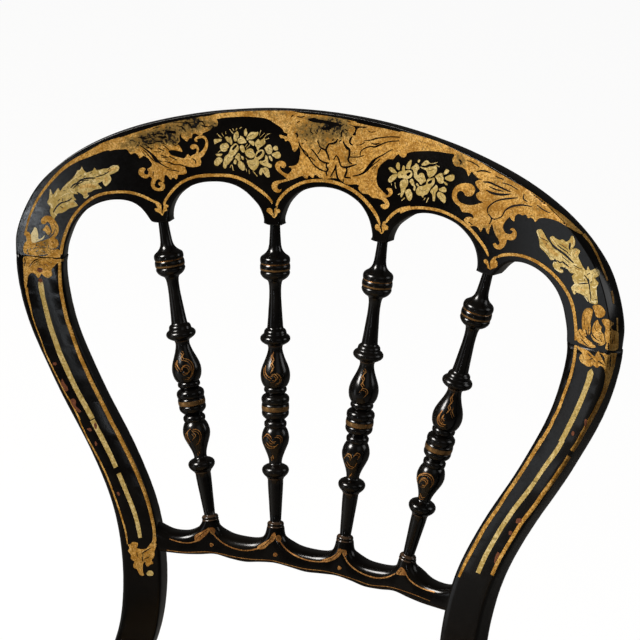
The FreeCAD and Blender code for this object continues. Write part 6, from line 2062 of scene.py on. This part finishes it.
@dataclass(frozen=True)
class RailStencil:
    """Lines, leaf sprays and diamonds of the lower rail."""

    sheet: Sheet = Sheet(120.0, 490.0, 4.6, vein=0.9)
    upper_lines: tuple[tuple[Mark, ...], ...] = (
        ((228, 225, 6), (270, 238, 7), (310, 243, 7), (350, 235, 8), (385, 212, 9), (405, 185, 6)),
        ((425, 195, 6), (445, 220, 8), (480, 248, 8), (530, 270, 8), (580, 278, 8), (630, 270, 9),
         (675, 250, 10), (700, 215, 9), (710, 200, 6)),
        ((725, 215, 7), (745, 250, 8), (780, 285, 8), (830, 312, 8), (890, 328, 8), (940, 328, 8),
         (985, 312, 9), (1010, 285, 9), (1015, 270, 6)),
        ((1030, 300, 7), (1050, 335, 8), (1090, 370, 8), (1135, 392, 8), (1180, 404, 9), (1230, 400, 9),
         (1268, 384, 7)),
        ((1312, 384, 7), (1340, 420, 8), (1390, 452, 8), (1450, 470, 7)),
    )
    lower_line: tuple[Mark, ...] = (
        (215, 276, 4), (300, 286, 4), (400, 284, 4), (450, 290, 4), (520, 306, 4), (600, 318, 4),
        (700, 324, 4), (760, 340, 4), (850, 362, 4), (950, 374, 4), (1058, 404, 4), (1150, 436, 4),
        (1242, 446, 4), (1334, 474, 4), (1426, 510, 4),
    )
    leaves: tuple[tuple[Pair, ...], ...] = (
        ((345, 210), (360, 200), (378, 190), (400, 178), (412, 172), (410, 190), (398, 205), (380, 222),
         (360, 235), (345, 230)),
        ((412, 175), (428, 172), (438, 185), (430, 205), (418, 200)),
        ((632, 262), (655, 245), (672, 235), (690, 222), (698, 205), (712, 195), (718, 215), (705, 235),
         (685, 250), (665, 268), (640, 272)),
        ((720, 210), (735, 208), (742, 225), (732, 240), (720, 232)),
        ((930, 322), (960, 312), (985, 300), (1000, 285), (1005, 270), (1020, 272), (1018, 292), (1000, 312),
         (975, 325), (945, 332)),
        ((1022, 275), (1040, 278), (1042, 298), (1030, 305)),
        ((1270, 385), (1282, 365), (1295, 355), (1310, 368), (1318, 390), (1300, 392)),
    )
    diamonds: tuple[tuple, ...] = ((422, 252, 9, 9, 0), (715, 297, 10, 10, 0), (1010, 358, 9, 9, 0))
    fine: float = 0.7
    leaf_veins: tuple[tuple[Mark, ...], ...] = (
        ((352, 222, 2), (375, 204, 3), (402, 184, 2)), ((368, 206, 2), (372, 218, 2)), ((384, 196, 2),
         (388, 210, 2)),
        ((645, 264, 2), (675, 246, 3), (704, 212, 2)), ((668, 244, 2), (674, 256, 2)), ((688, 230, 2),
         (694, 242, 2)),
        ((945, 326, 2), (980, 310, 3), (1010, 282, 2)), ((968, 314, 2), (974, 324, 2)), ((990, 300, 2),
         (996, 310, 2)),
        ((1282, 386, 2), (1296, 366, 3)), ((418, 182, 2), (428, 198, 2)), ((726, 214, 2), (736, 230, 2)),
        ((1028, 282, 2), (1036, 298, 2)), ((708, 288, 2), (722, 304, 2)), ((415, 246, 2), (429, 258, 2)),
    )

    def shapes(self) -> list[Shape]:
        """All shapes of the rail."""
        gold = []
        for line in (*self.upper_lines, self.lower_line):
            gold += self.sheet.strokes(Paint.BRONZE, tuple((x, y, width * self.fine) for x, y, width in line))
        for outline in self.leaves:
            gold += self.sheet.patch(Paint.BRONZE, outline)
        gold += self.sheet.petals(Paint.BRONZE, self.diamonds)
        return gold + self.sheet.strokes(Paint.BLACK, *self.leaf_veins)


@dataclass(frozen=True)
class VaseScrolls:
    """Small bronze scrolls brushed on both vases of one spindle."""

    name: str
    upper: Sheet
    upper_strokes: tuple[tuple[Mark, ...], ...]
    lower: Sheet
    lower_strokes: tuple[tuple[Mark, ...], ...]
    bold: float = 0.95

    def shapes(self) -> list[Shape]:
        """All shapes of this spindle."""
        gold = []
        for sheet, spines in ((self.upper, self.upper_strokes), (self.lower, self.lower_strokes)):
            for spine in spines:
                gold += sheet.strokes(Paint.BRONZE, tuple((x, y, width * self.bold) for x, y, width in spine))
                gold += sheet.strokes(
                    Paint.BRONZE, tuple((x - 13, y + 15, width * 0.6) for x, y, width in spine)
                )
        return gold


SCROLLS = (
    VaseScrolls("scrolls_1", Sheet(166.0, 322.0, 9.0), (
        ((165, 330, 5), (205, 342, 8), (236, 375, 9), (246, 415, 10), (238, 465, 12), (212, 500, 10),
         (188, 498, 4)),
        ((148, 432, 4), (152, 402, 7), (180, 388, 8), (208, 402, 8), (216, 430, 8), (200, 456, 7),
         (172, 462, 6), (160, 446, 4)),
        ((104, 345, 5), (98, 380, 9), (112, 410, 8), (128, 430, 4)),
        ((145, 262, 4), (158, 285, 6), (148, 312, 6), (160, 335, 4)),
    ), Sheet(174.0, 396.0, 9.0), (
        ((170, 300, 4), (212, 305, 7), (240, 335, 7), (240, 385, 7), (214, 430, 5)),
        ((150, 296, 5), (122, 325, 7), (128, 375, 6), (152, 415, 4)),
        ((172, 330, 5), (196, 352, 7), (176, 384, 5)), ((226, 496, 8), (232, 520, 7)),
    )),
    VaseScrolls("scrolls_2", Sheet(250.0, 330.0, 9.0), (
        ((214, 198, 4), (204, 238, 8), (216, 270, 8), (199, 300, 9), (214, 330, 8), (199, 372, 6)),
        ((144, 320, 5), (139, 380, 9), (164, 420, 9), (196, 440, 5)),
        ((234, 390, 5), (264, 410, 8), (279, 440, 9), (269, 470, 8), (234, 482, 5)),
        ((190, 408, 5), (226, 398, 8), (246, 426, 8), (228, 456, 7), (200, 456, 4)),
    ), Sheet(250.0, 410.0, 9.0), (
        ((134, 240, 6), (152, 215, 8), (180, 232, 9), (196, 262, 5)),
        ((236, 234, 6), (268, 232, 9), (288, 258, 9), (284, 292, 5)),
        ((150, 290, 5), (176, 322, 8), (216, 330, 8), (256, 305, 5)),
        ((184, 268, 5), (204, 290, 8), (232, 282, 5)), ((205, 404, 8), (211, 440, 10)),
    )),
    VaseScrolls("scrolls_3", Sheet(338.0, 346.0, 9.0), (
        ((243, 205, 5), (253, 235, 8), (225, 268, 9), (240, 300, 9), (220, 330, 9), (238, 362, 6)),
        ((205, 402, 4), (225, 382, 6), (258, 392, 7), (266, 428, 6), (240, 450, 4)),
    ), Sheet(328.0, 424.0, 9.0), (
        ((160, 292, 5), (178, 268, 8), (206, 280, 8), (214, 312, 5)),
        ((238, 284, 5), (262, 262, 9), (288, 276, 9), (276, 308, 5)),
        ((172, 335, 5), (196, 375, 7), (236, 385, 7), (262, 345, 5)), ((215, 442, 8), (200, 470, 6)),
    )),
    VaseScrolls("scrolls_4", Sheet(426.0, 372.0, 9.0), (
        ((257, 185, 5), (232, 230, 10), (240, 262, 10), (212, 300, 10), (222, 332, 8), (196, 356, 6)),
        ((150, 342, 6), (122, 390, 13), (118, 430, 14), (140, 465, 14), (176, 475, 8)),
        ((165, 380, 8), (150, 410, 10), (166, 442, 7)), ((245, 320, 4), (236, 360, 6), (252, 402, 4)),
    ), Sheet(404.0, 440.0, 9.0), (
        ((122, 370, 5), (130, 328, 9), (170, 302, 10), (222, 306, 10), (256, 336, 10), (266, 380, 9),
         (244, 420, 5)),
        ((152, 374, 6), (160, 346, 9), (190, 344, 14), (214, 372, 11), (194, 408, 9), (164, 404, 6)),
        ((150, 480, 7), (160, 515, 8), (186, 516, 5)),
    )),
)


# The chair
@dataclass(frozen=True)
class ChairBack:
    """The back: crest, posts, spindles and lower rail with their ornament."""

    lacquer: bpy.types.Material
    ringed: bpy.types.Material
    bronze: bpy.types.Material
    copper: bpy.types.Material
    spindles: tuple[Spindle, ...] = (
        Spindle("spindle_1", (-69.4, -162.5), (-111.5, 31.4)),
        Spindle("spindle_2", (-24.4, -159.5), (-37.0, 38.6)),
        Spindle("spindle_3", (24.4, -159.5), (37.0, 38.6)),
        Spindle("spindle_4", (69.4, -162.5), (111.5, 31.4)),
    )

    def build(self) -> None:
        """Make every piece of the back."""
        crest = Crest().build(self.lacquer)
        rail = LowerRail().build(self.lacquer)
        left = smooth_copy("back_post_left", self.lacquer)
        right = smooth_copy("back_post_right", self.lacquer)
        for spindle, scrolls in zip(self.spindles, SCROLLS):
            turned = spindle.build(self.ringed)
            Stencil(scrolls.name, scrolls.shapes(), worn=()).lay(turned, self.copper)
        crest_shapes = CrestLeft().shapes() + CrestMiddle().shapes() + CrestRight().shapes()
        Stencil("crest_stencil", crest_shapes).lay(crest, self.bronze)
        Stencil("left_post_stencil", LeftPostStencil().shapes()).lay(left, self.bronze)
        Stencil("right_post_stencil", RightPostStencil().shapes()).lay(right, self.bronze)
        Stencil("rail_stencil", RailStencil().shapes()).lay(rail, self.copper)


@dataclass(frozen=True)
class ChairBase:
    """Seat, legs and stretchers under the back."""

    lacquer: bpy.types.Material
    cane: bpy.types.Material
    binding: bpy.types.Material
    wood: bpy.types.Material
    turned: tuple[str, ...] = (
        "front_leg_left", "front_leg_right", "front_stretcher_upper", "front_stretcher_lower",
        "left_stretcher_upper", "left_stretcher_lower", "right_stretcher_upper", "right_stretcher_lower",
        "rear_stretcher",
    )

    def build(self) -> None:
        """Make every piece of the base."""
        CanedSeat().build(self.cane)
        for node in sorted(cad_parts):
            if node in self.turned or node.startswith("seat_"):
                smooth_copy(node, self.lacquer)
            elif "dowel" in node:
                smooth_copy(node, self.wood)
            elif node == "cane_binding":
                smooth_copy(node, self.binding)


@dataclass(frozen=True)
class Studio:
    """Soft lamps, a pale floor and a white surround."""

    around: float = 0.05
    lamps: tuple[tuple, ...] = (
        ("window_lamp", (-2.1, -1.8, 3.0), (0.0, 0.1, 0.65), 1.3, 1.3, 185.0, (1.0, 0.97, 0.93)),
        ("shoulder_lamp", (-1.72, -1.42, 0.52), (0.0, 0.2, 0.75), 0.5, 0.9, 1.4, (0.90, 0.95, 1.0)),
        ("low_front_lamp", (0.03, -1.81, 0.68), (-0.185, 0.18, 0.735), 0.02, 0.05, 0.42, (0.88, 0.94, 1.0)),
        ("fill_lamp", (2.2, -1.4, 2.4), (0.0, 0.1, 0.6), 1.6, 1.6, 2.0, (0.96, 0.98, 1.0)),
        ("back_lamp", (2.4, 1.2, 1.6), (0.0, 0.1, 0.7), 1.2, 1.2, 8.0, (1.0, 1.0, 1.0)),
    )

    def build(self) -> None:
        """Make the lamps, the surround and the floor."""
        world = bpy.data.worlds.new("studio")
        world.use_nodes = True
        tree = world.node_tree
        tree.nodes.clear()
        path = tree.nodes.new("ShaderNodeLightPath")
        plain = tree.nodes.new("ShaderNodeBackground")
        plain.inputs["Color"].default_value = (1.0, 0.96, 0.90, 1.0)
        plain.inputs["Strength"].default_value = self.around
        white = tree.nodes.new("ShaderNodeBackground")
        white.inputs["Color"].default_value = (1.0, 1.0, 1.0, 1.0)
        mix = tree.nodes.new("ShaderNodeMixShader")
        out = tree.nodes.new("ShaderNodeOutputWorld")
        tree.links.new(path.outputs["Is Camera Ray"], mix.inputs["Fac"])
        tree.links.new(plain.outputs[0], mix.inputs[1])
        tree.links.new(white.outputs[0], mix.inputs[2])
        tree.links.new(mix.outputs[0], out.inputs["Surface"])
        bpy.context.scene.world = world
        for name, place, aim, wide, tall, power, tint in self.lamps:
            data = bpy.data.lights.new(name, "AREA")
            data.shape = "RECTANGLE"
            data.size = wide
            data.size_y = tall
            data.energy = power
            data.color = tint
            lamp = bpy.data.objects.new(name, data)
            lamp.location = place
            lamp.visible_camera = False
            lamp.rotation_euler = (Vector(aim) - Vector(place)).to_track_quat("-Z", "Y").to_euler()
            bpy.context.scene.collection.objects.link(lamp)
        self.floor()

    def floor(self) -> None:
        """Make the floor, which keeps the chair's shadow."""
        s = Shader("pale_floor")
        grain = s.noise(3.0, 3.0, 0.5)
        colour = s.blend(grain * 0.3, (0.17, 0.165, 0.155), (0.14, 0.135, 0.125))
        surface = s.node("ShaderNodeBsdfPrincipled", {}, {"Base Color": colour, "Roughness": 0.8})
        pale = s.node("ShaderNodeBsdfDiffuse", {}, {"Color": (0.85, 0.85, 0.85)})
        glow = s.node("ShaderNodeEmission", {}, {"Color": (1.0, 1.0, 1.0), "Strength": 1.08})
        shown = s.node("ShaderNodeMixShader", {}, {0: 0.85, 1: pale, 2: glow})
        seen = s.node("ShaderNodeLightPath", output="Is Camera Ray")
        mix = s.node("ShaderNodeMixShader", {}, {0: seen, 1: surface, 2: shown})
        out = s.tree.nodes.new("ShaderNodeOutputMaterial")
        s.tree.links.new(mix.socket, out.inputs["Surface"])
        reach = 6.0
        corners = [(-reach, -reach, 0.0), (reach, -reach, 0.0), (reach, reach, 0.0), (-reach, reach, 0.0)]
        floor = bpy.data.objects.new(
            "floor", shaded_mesh("floor", corners, [(0, 1, 2, 3)], s.material, FLAT_DEGREES)
        )
        bpy.context.scene.collection.objects.link(floor)


def main() -> None:
    """Build the chair's dressed pieces in order."""
    logging.basicConfig(level=logging.INFO, format="%(message)s")
    bpy.context.scene.view_settings.view_transform = "Standard"
    lacquer = BlackLacquer().make()
    copper = BronzePowder(
        bright=(0.46, 0.20, 0.05), deep=(0.20, 0.075, 0.016), glint=(0.75, 0.42, 0.14), metal=0.4
    )
    ChairBack(lacquer, RingedLacquer().make(), BronzePowder().make(), copper.make("copper_gold")).build()
    binding = Cane(light=(0.46, 0.30, 0.12), dark=(0.27, 0.15, 0.05)).make("cane_binding")
    ChairBase(lacquer, Cane().make("split_cane"), binding, BareWood().make()).build()
    PhotoCamera().build()
    Studio().build()


if __name__ == "__main__":
    main()
